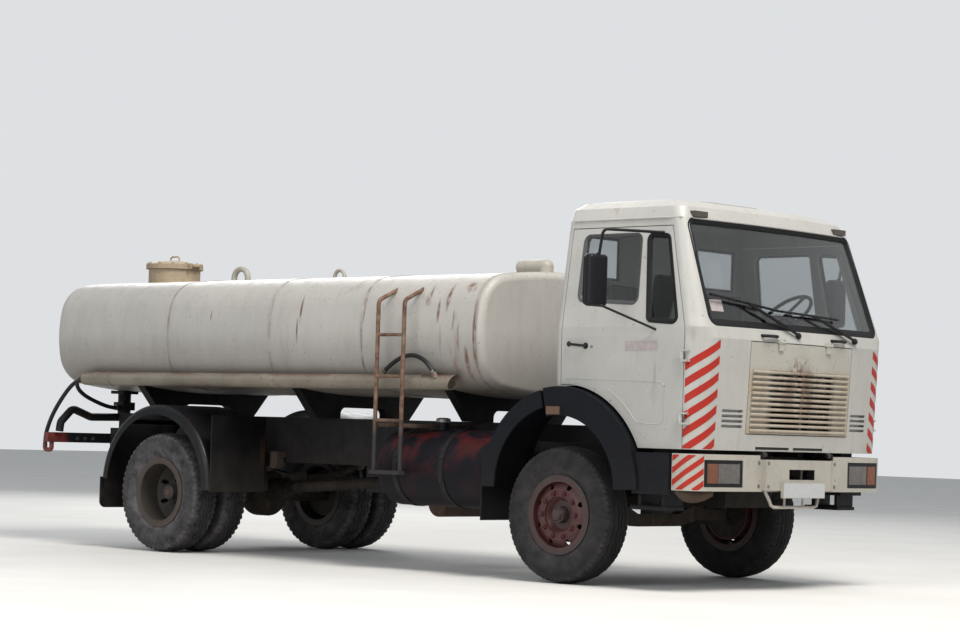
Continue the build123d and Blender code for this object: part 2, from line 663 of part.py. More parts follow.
def make_hose_tubes():
    """A tube along each side of the tank: banded, plugged, its front end cut on the slant."""
    y = HOSE_TUBE_Y
    z = HOSE_TUBE_Z
    r = HOSE_TUBE_R
    tube = pipe((HOSE_TUBE_REAR, y, z), (HOSE_TUBE_FRONT, y, z), r, 5)
    for band_x in HOSE_TUBE_BANDS:
        x = ahead(band_x)
        band = pipe((x - 20, y, z), (x + 20, y, z), r + 5, 6)
        arm = block(x - 20, x + 20, 860, y - r + 3, z - 20, z + 20)
        tube = tube + band + arm
    slant = side_plate([(HOSE_TUBE_FRONT, z + r + 5), (HOSE_TUBE_FRONT - 71, z - r - 5), (HOSE_TUBE_FRONT + 40, z - r - 5),
                        (HOSE_TUBE_FRONT + 40, z + r + 5)], y - r - 5, y + r + 5)
    rear_plug = rod((HOSE_TUBE_REAR + 15, y, z), (HOSE_TUBE_REAR + 35, y, z), r - 4)
    front_plug = rod((HOSE_TUBE_FRONT - 110, y, z), (HOSE_TUBE_FRONT - 90, y, z), r - 4)
    tank_body = extrude(tank_face(ahead(-5600), 0), amount=4900, dir=(1, 0, 0))
    left = fuse([tube - slant, rear_plug, front_plug]) - tank_body
    sockets = [stub(table, LOOP_HOSE_R + 5, HOSE_SOCKET_REACH) for table in (FRONT_HOSE_LOOP, FRONT_HOSE_LOOP[::-1])]
    save("hose_tubes", left, fuse([mirrored(left)] + sockets))


LADDER_R = 17


def make_ladder():
    pieces = []
    for rail_x in (-1910, -1620):
        path = [(ahead(rail_x), -1200, 770), (ahead(rail_x), -1200, 2135), (ahead(rail_x - 50), -800, 2296)]
        pieces.append(bent_bar(path, 60, LADDER_R))
    for z in (1180, 1530, 1860):
        pieces.append(rod((ahead(-1910), -1200, z), (ahead(-1620), -1200, z), LADDER_R - 3))
    pieces.append(block(ahead(-1930), ahead(-1600), -1235, -1165, 755, 785))
    for x in (-1910, -1620):
        pieces.append(block(ahead(x) - 15, ahead(x) + 15, -1200, -RAIL_Y, 1130, 1160))
    tank_body = extrude(tank_face(ahead(-5600), 0), amount=4900, dir=(1, 0, 0))
    save("ladder", fuse(pieces) - tank_body)


# Chassis equipment
DRUM_Y = 800
DRUM_TANK_R = 305
DRUM_TANK_Z = 815
DRUM_X0 = AXLE1_X - 1980
DRUM_X1 = AXLE1_X - 800
DRUM_NECK_X = AXLE1_X - 1540
DRUM_NECK_TOP = 1190


def make_fuel_drum():
    drum_body = rod((DRUM_X0, -DRUM_Y, DRUM_TANK_Z), (DRUM_X1, -DRUM_Y, DRUM_TANK_Z), DRUM_TANK_R)
    drum_body = fillet(drum_body.edges().filter_by(GeomType.CIRCLE), 35)
    neck = rod((DRUM_NECK_X, -DRUM_Y, DRUM_TANK_Z + DRUM_TANK_R - 40), (DRUM_NECK_X, -DRUM_Y, DRUM_NECK_TOP), 50)
    save("fuel_drum", drum_body + neck)
    straps = []
    for x in (ahead(-1795), ahead(-1293)):
        ring = pipe((x, -DRUM_Y, DRUM_TANK_Z), (x + 50, -DRUM_Y, DRUM_TANK_Z), DRUM_TANK_R + 6, 6)
        arm = block(x, x + 50, -DRUM_Y + 60, -RAIL_Y, DRUM_TANK_Z + 60, DRUM_TANK_Z + 120)
        cut = rod((x - 1, -DRUM_Y, DRUM_TANK_Z), (x + 51, -DRUM_Y, DRUM_TANK_Z), DRUM_TANK_R)
        straps.append(ring + (arm - cut))
    save("drum_straps", *straps)


def make_reservoirs():
    tank_r = 165
    z = 950
    pieces = []
    for x in (-2350, -2750):
        body = rod((ahead(x), RAIL_Y + 60, z), (ahead(x), RAIL_Y + 560, z), tank_r)
        body = fillet(body.edges().filter_by(GeomType.CIRCLE), 45)
        body = body + block(ahead(x) - 60, ahead(x) + 60, RAIL_Y, RAIL_Y + 80, z - 60, z + 60)
        pieces.append(body)
    save("air_reservoirs", *pieces)


SILENCER_X = -1900
SILENCER_Z = 520
SILENCER_R = 110
SILENCER_HALF_L = 470


def make_boxes():
    box = block(ahead(-1650), ahead(-950), RAIL_Y, RAIL_Y + 620, 640, 1000)
    save("battery_box", fillet(box.edges().filter_by(Axis.X), 30))


def make_exhaust():
    """Silencer lying across the truck under the rails, with its tail pipe to the left."""
    x = ahead(SILENCER_X)
    z = SILENCER_Z
    can = rod((x, -SILENCER_HALF_L, z), (x, SILENCER_HALF_L, z), SILENCER_R)
    can = fillet(can.edges().filter_by(GeomType.CIRCLE), 25)
    tail = bent_bar([(x, SILENCER_HALF_L - 20, z), (x, 640, z), (x - 60, 900, z - 60)], 60, 30)
    hangers = [block(x - 25, x + 25, side * (RAIL_Y - RAIL_FLANGE), side * RAIL_Y, z + 60, RAIL_BOTTOM) for side in (-1, 1)]
    save("silencer", fuse([can, tail] + hangers))


def make_cab_rest():
    """Portal over the frame that carries the cab's rear end."""
    x0 = ahead(-50)
    x1 = ahead(10)
    top = CAB_LOW_REAR_Z - FIT
    posts = [block(x0, x1, side * 370, side * RAIL_Y, RAIL_TOP, top - 30) for side in (-1, 1)]
    beam = block(x0, x1, -640, 640, top - 70, top - 20)
    pads = [block(x0, x1, side * 540, side * 640, top - 70, top) for side in (-1, 1)]
    save("cab_rest", fuse(posts + [beam] + pads))


def ring_sheet(x, z, radius, thick, y0, y1, start, end):
    """Sheet bent to an arc from one angle to another, in degrees above the forward direction."""
    def at(r, a):
        return (x + r * cos(radians(a)), z + r * sin(radians(a)))

    mid = (start + end) / 2
    inner = radius - thick
    edges = [ThreePointArc(at(radius, start), at(radius, mid), at(radius, end)),
             Line(at(radius, end), at(inner, end)),
             ThreePointArc(at(inner, end), at(inner, mid), at(inner, start)),
             Line(at(inner, start), at(radius, start))]
    face = make_face(Plane.XZ * (Curve() + edges))
    strip = extrude(face, amount=abs(y1 - y0), dir=(0, 1, 0))
    return Pos(0, min(y0, y1), 0) * strip


def make_rear_fenders():
    """Fender over each twin wheel, its outer edge rounded down to a lip, with a front panel and a mudflap."""
    r = FENDER_R
    t = FENDER_T
    rounding = FENDER_ROUND
    edge_y = BODY_HALF_W
    out = rounding * 0.293
    inn = out * (rounding - t) / rounding
    edges = [
        Line((r - t, FENDER_IN_Y), (r, FENDER_IN_Y)),
        Line((r, FENDER_IN_Y), (r, edge_y - rounding)),
        ThreePointArc((r, edge_y - rounding), (r - out, edge_y - out), (r - rounding, edge_y)),
        Line((r - rounding, edge_y), (r - FENDER_LIP, edge_y)),
        Line((r - FENDER_LIP, edge_y), (r - FENDER_LIP, edge_y - t)),
        Line((r - FENDER_LIP, edge_y - t), (r - rounding, edge_y - t)),
        ThreePointArc((r - rounding, edge_y - t), (r - t - inn, edge_y - t - inn), (r - t, edge_y - rounding)),
        Line((r - t, edge_y - rounding), (r - t, FENDER_IN_Y)),
    ]
    sheet = revolve(make_face(Curve() + edges), axis=Axis((0, 0, 0), (0, -1, 0)), revolution_arc=FENDER_SWEEP)
    sheet = Pos(FENDER_X, 0, FENDER_Z) * sheet
    front_x = FENDER_X + r
    panel = block(front_x - 2, front_x + 10, 620, edge_y - 20, FENDER_Z - 10, 1186)
    tie = block(front_x - 180, front_x, 700, 740, 985, 1000)
    rear_x = FENDER_X + r * cos(radians(FENDER_SWEEP))
    rear_z = FENDER_Z + r * sin(radians(FENDER_SWEEP))
    flap = side_plate([(rear_x - 8, 350), (rear_x + 4, 350), (rear_x + 4, rear_z + 8), (rear_x - 8, rear_z + 8)],
                      FENDER_IN_Y, edge_y)
    flap = fillet(flap.edges().filter_by(Axis.X).group_by(Axis.Z)[0], 60)
    stay_z = FENDER_Z + sqrt(r ** 2 - FENDER_STAY_X ** 2) - 20
    stays = [rod((FENDER_X + x, RAIL_Y, stay_z), (FENDER_X + x, edge_y - 30, stay_z), 16)
             for x in (-FENDER_STAY_X, FENDER_STAY_X)]
    save("rear_fenders", *both(fuse([sheet, panel, tie, flap] + stays)))


ARCH_SPLIT = 102
ARCH_BAND = 215


def make_arches():
    front = ring_sheet(ARCH_X, ARCH_Z, ARCH_R, FENDER_T, 700, BODY_HALF_W - 20, 2, ARCH_SPLIT)
    band = ring_sheet(ARCH_X, ARCH_Z, ARCH_R, ARCH_BAND, BODY_HALF_W - 38, BODY_HALF_W - 20, 2, ARCH_SPLIT)
    step_box = block(ahead(750), ahead(1086), 930, BODY_HALF_W - 40, 700, 1000)
    step = block(ahead(720), ahead(1040), 960, BODY_HALF_W - 60, 585, 610)
    posts = [block(ahead(x), ahead(x + 25), 965, BODY_HALF_W - 70, 600, 790) for x in (790, 1005)]
    hangers = [block(ahead(840), ahead(1080), 940, 1080, 990, CAB_BOTTOM),
               block(ahead(-20), ahead(80), 940, 1060, ARCH_Z + ARCH_R - 12, CAB_LOW_REAR_Z)]
    left = fuse([front, band, step_box, step] + posts + hangers)
    save("cab_arches", *both(left))
    rear = ring_sheet(ARCH_X, ARCH_Z, ARCH_R - 10, FENDER_T, 700, BODY_HALF_W - 20, ARCH_SPLIT + 2, 180)
    rear_band = ring_sheet(ARCH_X, ARCH_Z, ARCH_R - 10, 130, BODY_HALF_W - 38, BODY_HALF_W - 20, ARCH_SPLIT + 2, 180)
    flap = block(ARCH_X - ARCH_R + 10, ARCH_X - ARCH_R + 22, 700, BODY_HALF_W - 20, 440, ARCH_Z + 5)
    stay = rod((ahead(-640), RAIL_Y, 930), (ahead(-640), 720, 930), 22)
    tie = block(ahead(-700), ahead(-620), 700, 760, 900, 960)
    save("chassis_arches", *both(fuse([rear, rear_band, flap, stay, tie])))


# Bumper with its lamp pockets and tow slot
def bumper_outline(out, z0, z1):
    """Bumper band in plan, its corners turned back along the sides."""
    face = BUMPER_FACE - out
    half = BUMPER_HALF_W - out
    r = BUMPER_CORNER_R - out
    back = BUMPER_RETURN_X
    bow = 25
    tip = face - bow
    edges = [Line((back, -half), (tip - r, -half)),
             ThreePointArc((tip - r, -half), (tip - r * 0.293, -half + r * 0.293), (tip, -half + r)),
             ThreePointArc((tip, -half + r), (face, 0), (tip, half - r)),
             ThreePointArc((tip, half - r), (tip - r * 0.293, half - r * 0.293), (tip - r, half)),
             Line((tip - r, half), (back, half)),
             Line((back, half), (back, -half))]
    plan = make_face(Plane.XY.offset(z0) * (Curve() + edges))
    return extrude(plan, amount=z1 - z0, dir=(0, 0, 1))


def make_bumper():
    band = bumper_outline(0, BUMPER_BOTTOM, BUMPER_TOP) - bumper_outline(BUMPER_T, BUMPER_BOTTOM - 1, BUMPER_TOP + 1)
    centre = block(BUMPER_FACE - BUMPER_T, BUMPER_FACE + BUMPER_CENTRE_OUT, -BUMPER_CENTRE_HALF, BUMPER_CENTRE_HALF,
                   BUMPER_BOTTOM + 10, BUMPER_TOP - 20)
    plate = block(BUMPER_FACE + BUMPER_CENTRE_OUT, FRONT_X, -260, 260, 690, 805)
    arms = [block(RAIL_FRONT, BUMPER_FACE - BUMPER_T + 5, side * 355, side * RAIL_Y, 830, 960) for side in (-1, 1)]
    lowered = block(ahead(1200), FRONT_X, -BUMPER_CENTRE_HALF - 20, BUMPER_CENTRE_HALF + 20, BUMPER_TOP - 30, BUMPER_TOP + 5)
    bumper = fuse([band - lowered, centre - lowered, plate] + arms)
    slot = block(BUMPER_FACE - 60, FRONT_X + 5, -160, 160, 825, 900)
    bumper = bumper - slot
    jaw = block(BUMPER_FACE - BUMPER_T, BUMPER_FACE + BUMPER_CENTRE_OUT - 5, -12, 12, 820, 905)
    bumper = bumper + jaw
    for side in (-1, 1):
        pocket = block(ahead(1150), FRONT_X, side * LAMP_IN_Y, side * LAMP_OUT_Y, LAMP_LOW_Z, LAMP_HIGH_Z)
        bumper = bumper - pocket
    save("bumper", bumper)
    lamps = []
    for side in (-1, 1):
        body = block(ahead(1255), ahead(1338), side * (LAMP_IN_Y), side * (LAMP_OUT_Y), LAMP_LOW_Z, LAMP_HIGH_Z)
        lamps.append(body & bumper_outline(6, LAMP_LOW_Z, LAMP_HIGH_Z))
    save("headlamps", *lamps)


def make_tilt_brackets():
    """Brackets on the rails' front ends with the pins that the cab tilts on."""
    outline = [(ahead(1120), 860), (RAIL_FRONT - 5, 860), (TILT_X - 32, BUMPER_TOP - 25), (TILT_X + 14, BUMPER_TOP - 25),
               (TILT_X + 18, TILT_Z + 8), (TILT_X, TILT_Z + 18), (RAIL_FRONT, TILT_Z + 18), (ahead(1120), TILT_Z + 18)]
    left = side_plate(outline, RAIL_Y, RAIL_Y + 16)
    left = left + rod((TILT_X, RAIL_Y - 52, TILT_Z), (TILT_X, RAIL_Y + 8, TILT_Z), TILT_PIN_R)
    save("tilt_brackets", *both(left))


# Hoses that hang free, each along straight runs joined by arcs; X is the distance ahead of the front axle
HOSE_R = 19
LOOP_HOSE_R = 18
REAR_HOSE_OUTER = (
    (-5775, -1057, 1472), (-5840, -1057, 1472), (-5920, -1060, 1448), (-6000, -1065, 1388), (-6080, -1070, 1305),
    (-6158, -1075, 1212), (-6222, -1079, 1115), (-6265, -1082, 1020), (-6285, -1083, 950), (-6285, -1083, 890))
REAR_HOSE_INNER = (
    (-5775, -1013, 1500), (-5850, -1013, 1500), (-5940, -1000, 1475), (-6020, -955, 1430), (-6075, -875, 1378),
    (-6098, -780, 1330), (-6105, -670, 1290), (-6105, -560, 1255), (-6105, -460, 1236), (-6105, -400, 1236))
FRONT_HOSE_LOOP = (
    (-1399, -1078, 1562), (-1430, -1084, 1608), (-1474, -1088, 1650), (-1530, -1090, 1682), (-1600, -1092, 1701),
    (-1675, -1092, 1701), (-1745, -1091, 1684), (-1812, -1089, 1655), (-1880, -1086, 1617), (-1942, -1082, 1575))


def route(table):
    return [(ahead(x), y, z) for x, y, z in table]


def corner_radii(points):
    """Radius at each corner: 0.45 of the shorter run, divided by the tangent of half the turn."""
    radii = []
    for before, here, after in zip(points, points[1:], points[2:]):
        a = Vector(*here) - Vector(*before)
        b = Vector(*after) - Vector(*here)
        turn = radians(a.get_angle(b))
        radii.append(0.45 * min(a.length, b.length) / tan(turn / 2))
    return radii


def hose(name, table, radius):
    """Hose tube along its route, with its volume compared with section times length."""
    points = route(table)
    radii = corner_radii(points)
    path = FilletPolyline(*points, radius=radii)
    start = Plane(origin=path @ 0, z_dir=path % 0)
    tube = sweep(start * Circle(radius), path=path)
    share = tube.volume / (pi * radius ** 2 * path.length)
    print(name, "length", round(path.length), "radii", [round(r) for r in radii], "volume share", round(share, 4))
    save(name, tube)


def stub(table, radius, reach):
    """Round end piece that carries on past a hose's last point, its face flat on the hose's end."""
    points = route(table)
    last = Vector(*points[-1])
    way = (last - Vector(*points[-2])).normalized()
    return rod(tuple(last), tuple(last + way * reach), radius)


def make_hoses():
    hose("rear_hose_outer", REAR_HOSE_OUTER, HOSE_R)
    hose("rear_hose_inner", REAR_HOSE_INNER, HOSE_R)
    hose("front_hose_loop", FRONT_HOSE_LOOP, LOOP_HOSE_R)


# Rear equipment
BEAM_X = AXLE1_X - 6190
BEAM_HALF_T = 30
BEAM_HALF_L = 1150
BEAM_LOW = 905
BEAM_HIGH = 995
OUTLET_R = 36
OUTLET_X = AXLE1_X - 6130
OUTLET_TIP = (OUTLET_X, -1046, 1006)


def make_rear_gear():
    beam = block(BEAM_X - BEAM_HALF_T, BEAM_X + BEAM_HALF_T, -BEAM_HALF_L, BEAM_HALF_L, BEAM_LOW, BEAM_HIGH)
    for y in (810, 720, 630):
        for side in (-1, 1):
            beam = beam - rod((BEAM_X - 40, side * y, 945), (BEAM_X + 40, side * y, 945), 20)
    hook_x, hook_y, hook_z = route(REAR_HOSE_OUTER)[-1]
    hook = bent_bar([(hook_x, hook_y, hook_z), (hook_x, hook_y, 835), (BEAM_X, hook_y, 835), (BEAM_X, hook_y, BEAM_LOW + 5)],
                    28, HOSE_R + 2)
    save("rear_beam", beam - hitch_holes() + hook)
    lamps = [block(BEAM_X - 45, BEAM_X - BEAM_HALF_T, side * 860, side * 1040, 915, 985) for side in (-1, 1)]
    save("tail_lamps", *lamps)
    sump = rod((OUTLET_X, -300, 1150), (OUTLET_X, -300, TANK_BOTTOM + 40), 60)
    run = bent_bar([(OUTLET_X, -300, 1150), (OUTLET_X, -690, 1143), (OUTLET_X, -905, 1215), (OUTLET_X, -1035, 1090), OUTLET_TIP],
                   [120, 70, 60], OUTLET_R)
    body = block(OUTLET_X - 70, OUTLET_X + 70, -370, -230, 1215, 1290)
    inlet = stub(REAR_HOSE_INNER, HOSE_R + 8, 60)
    flange = block(OUTLET_X - 90, OUTLET_X + 90, -390, -210, TANK_BOTTOM - 20, TANK_BOTTOM + 10)
    save("water_outlet", fuse([sump, run, body, inlet, flange]) - NODES["tank_shell"])


# Cab shell from a few plan sections, lofted straight between them
CAB_FRONT_BOW = 55
CAB_REAR_R = 60
ROOF_TOP = 2878
CAB_SECTIONS = (
    # height, front face at the middle ahead of the axle, half width, corner radius, rear face ahead of CAB_REAR
    (CAB_BOTTOM, 1345, 1158, 160, 0),
    (1835, 1390, CAB_HALF_W, 190, 0),
    (BELT_Z + 10, 1368, 1169, 130, 0),
    (2715, 1090, 1054, 75, 0),
    (2800, 1050, 1020, 100, 8),
    (2850, 960, 940, 120, 45),
    (ROOF_TOP, 760, 760, 120, 170),
)


def cab_ring(row, inset, z):
    height, front, half, corner, rear = row
    w = half - inset
    xf = ahead(front) - inset
    xr = CAB_REAR + rear + inset
    r = max(corner - inset, 15)
    q = max(CAB_REAR_R - inset, 8)
    bow = CAB_FRONT_BOW
    tip = xf - bow
    edges = [
        Line((xr + q, -w), (tip - r, -w)),
        ThreePointArc((tip - r, -w), (tip - r * 0.293, -w + r * 0.293), (tip, -w + r)),
        ThreePointArc((tip, -w + r), (xf, 0), (tip, w - r)),
        ThreePointArc((tip, w - r), (tip - r * 0.293, w - r * 0.293), (tip - r, w)),
        Line((tip - r, w), (xr + q, w)),
        ThreePointArc((xr + q, w), (xr + q * 0.293, w - q * 0.293), (xr, w - q)),
        Line((xr, w - q), (xr, -w + q)),
        ThreePointArc((xr, -w + q), (xr + q * 0.293, -w + q * 0.293), (xr + q, -w)),
    ]
    return make_face(Plane.XY.offset(z) * (Curve() + edges))


def cab_solid(inset):
    """The cab's outer form, or the same form drawn in by an inset."""
    rings = []
    for index, row in enumerate(CAB_SECTIONS):
        z = row[0] - (inset if index > 2 else 0)
        rings.append(cab_ring(row, inset, z))
    return loft(rings, ruled=True)


def under_floor(extra):
    """Space under the cab's floor: wheel arches across the cab and the engine tunnel."""
    r = ARCH_R + ARCH_CLEAR + extra
    top = CAB_LOW_REAR_Z + extra
    span = 1300
    arch = Pos(ARCH_X, 0, ARCH_Z) * Rot(90, 0, 0) * Cylinder(r, 2 * span)
    arch = arch & block(CAB_REAR - 300, ahead(1300), -span, span, 500, top)
    back = block(CAB_REAR - 300, ARCH_X, -span, span, 500, top)
    tunnel_half = TUNNEL_HALF_W + extra
    tunnel_front = RAIL_FRONT + 2 * GAP + (38 if extra else 0)
    tunnel = block(CAB_REAR - 300, tunnel_front, -tunnel_half, tunnel_half, 500, TUNNEL_Z + extra)
    return arch + back + tunnel


def door_outline(gap):
    """Door's outline in X and Z, drawn in by a gap all round."""
    x_rear = DOOR_REAR + gap
    x_low = ahead(1160) - gap
    x_belt = ahead(1172) - gap
    x_top = ahead(955) - gap
    top = DOOR_TOP - gap
    low = CAB_BOTTOM - 2 * GAP + gap
    r = ARCH_R + 2 * GAP + gap
    x_arch = ARCH_X + sqrt(r ** 2 - (low - ARCH_Z) ** 2)
    z_rear = ARCH_Z + sqrt(r ** 2 - (ARCH_X - x_rear) ** 2)
    mid = radians(62)
    edges = [
        Line((x_rear, z_rear), (x_rear, top)),
        Line((x_rear, top), (x_top, top)),
        Line((x_top, top), (x_belt, BELT_Z)),
        Line((x_belt, BELT_Z), (x_low, low)),
        Line((x_low, low), (x_arch, low)),
        ThreePointArc((x_arch, low), (ARCH_X + r * cos(mid), ARCH_Z + r * sin(mid)), (x_rear, z_rear)),
    ]
    return make_face(Plane.XZ * (Curve() + edges))


DOOR_DEPTH_Y = 880


def door_prism(gap):
    """Door's outline as thick as the side wall's whole lean, on the left."""
    return Pos(0, DOOR_DEPTH_Y, 0) * extrude(door_outline(gap), amount=460, dir=(0, 1, 0))


def window_prism(points, y0, y1, round_r):
    face = make_face(Plane.XZ * Polyline(*points, close=True))
    face = fillet(face.vertices(), round_r)
    return Pos(0, y0, 0) * extrude(face, amount=y1 - y0, dir=(0, 1, 0))


MAIN_WINDOW = ((130, 2110), (700, 2080), (672, 2595), (130, 2595))
QUARTER_WINDOW = ((815, 1955), (1095, 1935), (930, 2580), (735, 2595))
SCREEN = ((-1040, 1938), (1040, 1938), (1000, 2700), (-1000, 2700))
REAR_PANES = (470, 970, 2295, 2625)

# Louvres on the flap, and vents and slots in the cab's front: y limits and heights
LOUVRES = 12
LOUVRE_PITCH = 39
LOUVRE_LOW_Z = 1180
LOUVRE_R = 13
LOUVRE_HALF_W = 600
LOUVRE_SLOT_H = 15
LOUVRE_SLOT_Y = (14, 370)
VENT_DEPTH = 30
VENT_ROWS = (1195, 1232, 1269, 1306)
VENT_H = 20
STRIP_SLOTS = ((-517, -122), (-72, 311))
STRIP_SLOT_Z = (1043, 1057)


def louvre(z):
    """Half-round bar across the flap, along the bow of the cab's front."""
    low_z, low_face, low_half, low_corner, _ = CAB_SECTIONS[0]
    high_z, high_face, high_half, high_corner, _ = CAB_SECTIONS[1]
    share = (z - low_z) / (high_z - low_z)
    face = low_face + share * (high_face - low_face)
    chord = (low_half - low_corner) * (1 - share) + (high_half - high_corner) * share
    bend_r = (chord ** 2 + CAB_FRONT_BOW ** 2) / (2 * CAB_FRONT_BOW)
    angle = asin(LOUVRE_HALF_W / bend_r)
    centre_x = ahead(face) - bend_r
    path = ThreePointArc(*[(centre_x + bend_r * cos(a), bend_r * sin(a), z) for a in (-angle, 0, angle)])
    start = Plane(origin=path @ 0, z_dir=path % 0)
    return sweep(start * Circle(LOUVRE_R), path=path)


def louvred(flap):
    """The flap with slots cut through it between rows of bars."""
    y0, y1 = LOUVRE_SLOT_Y
    for row in range(LOUVRES - 1):
        z = LOUVRE_LOW_Z + (row + 0.5) * LOUVRE_PITCH
        for side in (-1, 1):
            flap = flap - block(ahead(1200), FRONT_X + 50, side * y0, side * y1, z - LOUVRE_SLOT_H / 2, z + LOUVRE_SLOT_H / 2)
    for row in range(LOUVRES):
        flap = flap + louvre(LOUVRE_LOW_Z + row * LOUVRE_PITCH)
    return flap


def front_vents():
    """Rows of vents beside the flap and two slots in the strip under it."""
    vents = [block(ahead(1200), FRONT_X, side * 676, side * 900, z, z + VENT_H) for z in VENT_ROWS for side in (-1, 1)]
    vents += [block(ahead(1200), FRONT_X, y0, y1, STRIP_SLOT_Z[0], STRIP_SLOT_Z[1]) for y0, y1 in STRIP_SLOTS]
    return fuse(vents)


def make_cab():
    outer = cab_solid(0)
    inner = cab_solid(CAB_WALL)
    room = inner & block(CAB_REAR, FRONT_X, -1300, 1300, CAB_BOTTOM + FLOOR_T, 2900)
    room = room - under_floor(FLOOR_T)
    shell = outer - room - under_floor(0)
    skin = outer - inner
    wide = outer - cab_solid(CAB_WALL + GAP)
    left_cut = wide & door_prism(0)
    shell = shell - left_cut - mirrored(left_cut)
    screen_face = make_face(Plane.YZ.offset(ahead(900)) * Polyline(*SCREEN, close=True))
    screen_face = fillet(screen_face.vertices(), 60)
    screen = extrude(screen_face, amount=600, dir=(1, 0, 0))
    shell = shell - screen
    flap_hole = block(ahead(1200), FRONT_X + 50, -FLAP_HALF_W, FLAP_HALF_W, FLAP_BOTTOM, FLAP_TOP)
    shell = shell - flap_hole - (front_vents() - cab_solid(VENT_DEPTH))
    y0, y1, z0, z1 = REAR_PANES
    panes = []
    for side in (-1, 1):
        hole = block(CAB_REAR - 50, CAB_REAR + 150, side * y0, side * y1, z0, z1)
        shell = shell - hole
        panes.append(block(CAB_REAR + 20, CAB_REAR + 26, side * y0, side * y1, z0, z1))
    thin = cab_solid(14) - cab_solid(20)
    save("cab_glass", thin & screen, *panes)
    pins, barrels, cuts = door_hinges()
    for pin in pins:
        shell = shell + pin + mirrored(pin)
    flap_pins, flap_barrels, cab_cuts, flap_cuts = flap_hinges()
    shell = fuse([shell - cab_cuts] + flap_pins + tilt_lugs())
    save("cab_shell", shell)

    flap = (outer - cab_solid(FLAP_T)) & block(ahead(1200), FRONT_X + 50, -FLAP_HALF_W + GAP, FLAP_HALF_W - GAP,
                                               FLAP_BOTTOM + GAP, FLAP_TOP - GAP)
    flap = fuse([louvred(flap) - flap_cuts] + flap_barrels)
    save("front_flap", flap)

    door = skin & door_prism(GAP)
    main = window_prism([(ahead(x), z) for x, z in MAIN_WINDOW], 900, 1400, 50)
    quarter = window_prism([(ahead(x), z) for x, z in QUARTER_WINDOW], 900, 1400, 40)
    door = door - main - quarter
    glass = [thin & main, thin & quarter]
    door = door - cuts + barrels
    save("door_left", door)
    save("door_right", mirrored(door))
    save("door_glass_left", *glass)
    save("door_glass_right", *[mirrored(one) for one in glass])


def flap_hinges():
    """Two hinges along the flap's top edge: pins with ears for the cab, barrels for the flap, and cuts for both."""
    x = FLAP_HINGE_X
    z = FLAP_HINGE_Z
    half = FLAP_BARREL_HALF
    pins = []
    barrels = []
    cab_cuts = []
    flap_cuts = []
    for y in (-FLAP_HINGE_Y, FLAP_HINGE_Y):
        pins.append(rod((x, y - half - 12, z), (x, y + half + 12, z), FLAP_PIN_R))
        for side in (-1, 1):
            pins.append(block(x - 45, x + 8, y + side * (half + 1), y + side * (half + 12), z - 7, z + 20))
        barrel = rod((x, y - half, z), (x, y + half, z), FLAP_BARREL_R)
        arm = block(x - 32, x + 2, y - half, y + half, z - 60, z - 6)
        bore = rod((x, y - 90, z), (x, y + 90, z), FLAP_PIN_R + FIT)
        barrels.append(barrel + arm - bore)
        cab_cuts.append(rod((x, y - half - 1, z), (x, y + half + 1, z), FLAP_BARREL_R + GAP))
        flap_cuts.append(rod((x, y - half - 20, z), (x, y + half + 20, z), FLAP_BARREL_R + GAP)
                         + block(x - 52, x, y - half - 20, y + half + 20, z - 14, z + 5))
    return pins, barrels, fuse(cab_cuts), fuse(flap_cuts)


def tilt_lugs():
    """Lugs under the cab's front edge that turn on the bracket pins."""
    lugs = []
    for side in (-1, 1):
        y0 = side * (RAIL_Y - 45)
        y1 = side * (RAIL_Y - GAP)
        lug = rod((TILT_X, y0, TILT_Z), (TILT_X, y1, TILT_Z), TILT_LUG_R)
        lug = lug + block(TILT_X - 15, TILT_X + 4, y0, y1, TILT_Z, CAB_BOTTOM + 8)
        lugs.append(lug - rod((TILT_X, side * (RAIL_Y - 90), TILT_Z), (TILT_X, side * (RAIL_Y + 20), TILT_Z), TILT_PIN_R + FIT))
    return lugs


def door_hinges():
    """Two outside hinges on the left: pins with ears on the pillar, barrels on the door."""
    pins = []
    barrels = []
    cuts = []
    x = DOOR_HINGE_X
    y = DOOR_HINGE_Y
    half = 28
    for z in (1250, 1700):
        pins.append(rod((x, y, z - half - HINGE_EAR), (x, y, z + half + HINGE_EAR), HINGE_PIN_R))
        for side in (-1, 1):
            z_near = z + side * (half + 1)
            z_far = z + side * (half + HINGE_EAR)
            pins.append(block(x - 12, x + 50, y - 12, y + 12, z_near, z_far))
            pins.append(block(x + 20, x + 50, y - 75, y, z_near, z_far))
        barrel = rod((x, y, z - half), (x, y, z + half), HINGE_BARREL_R)
        leaf_arm = block(x - 60, x - 8, y - 45, y - 4, z - half, z + half)
        bore = rod((x, y, z - 100), (x, y, z + 100), HINGE_PIN_R + FIT)
        barrels.append(barrel + leaf_arm - bore)
        cuts.append(rod((x, y, z - half - 30), (x, y, z + half + 30), HINGE_BARREL_R + GAP))
    return pins, fuse(barrels), fuse(cuts)


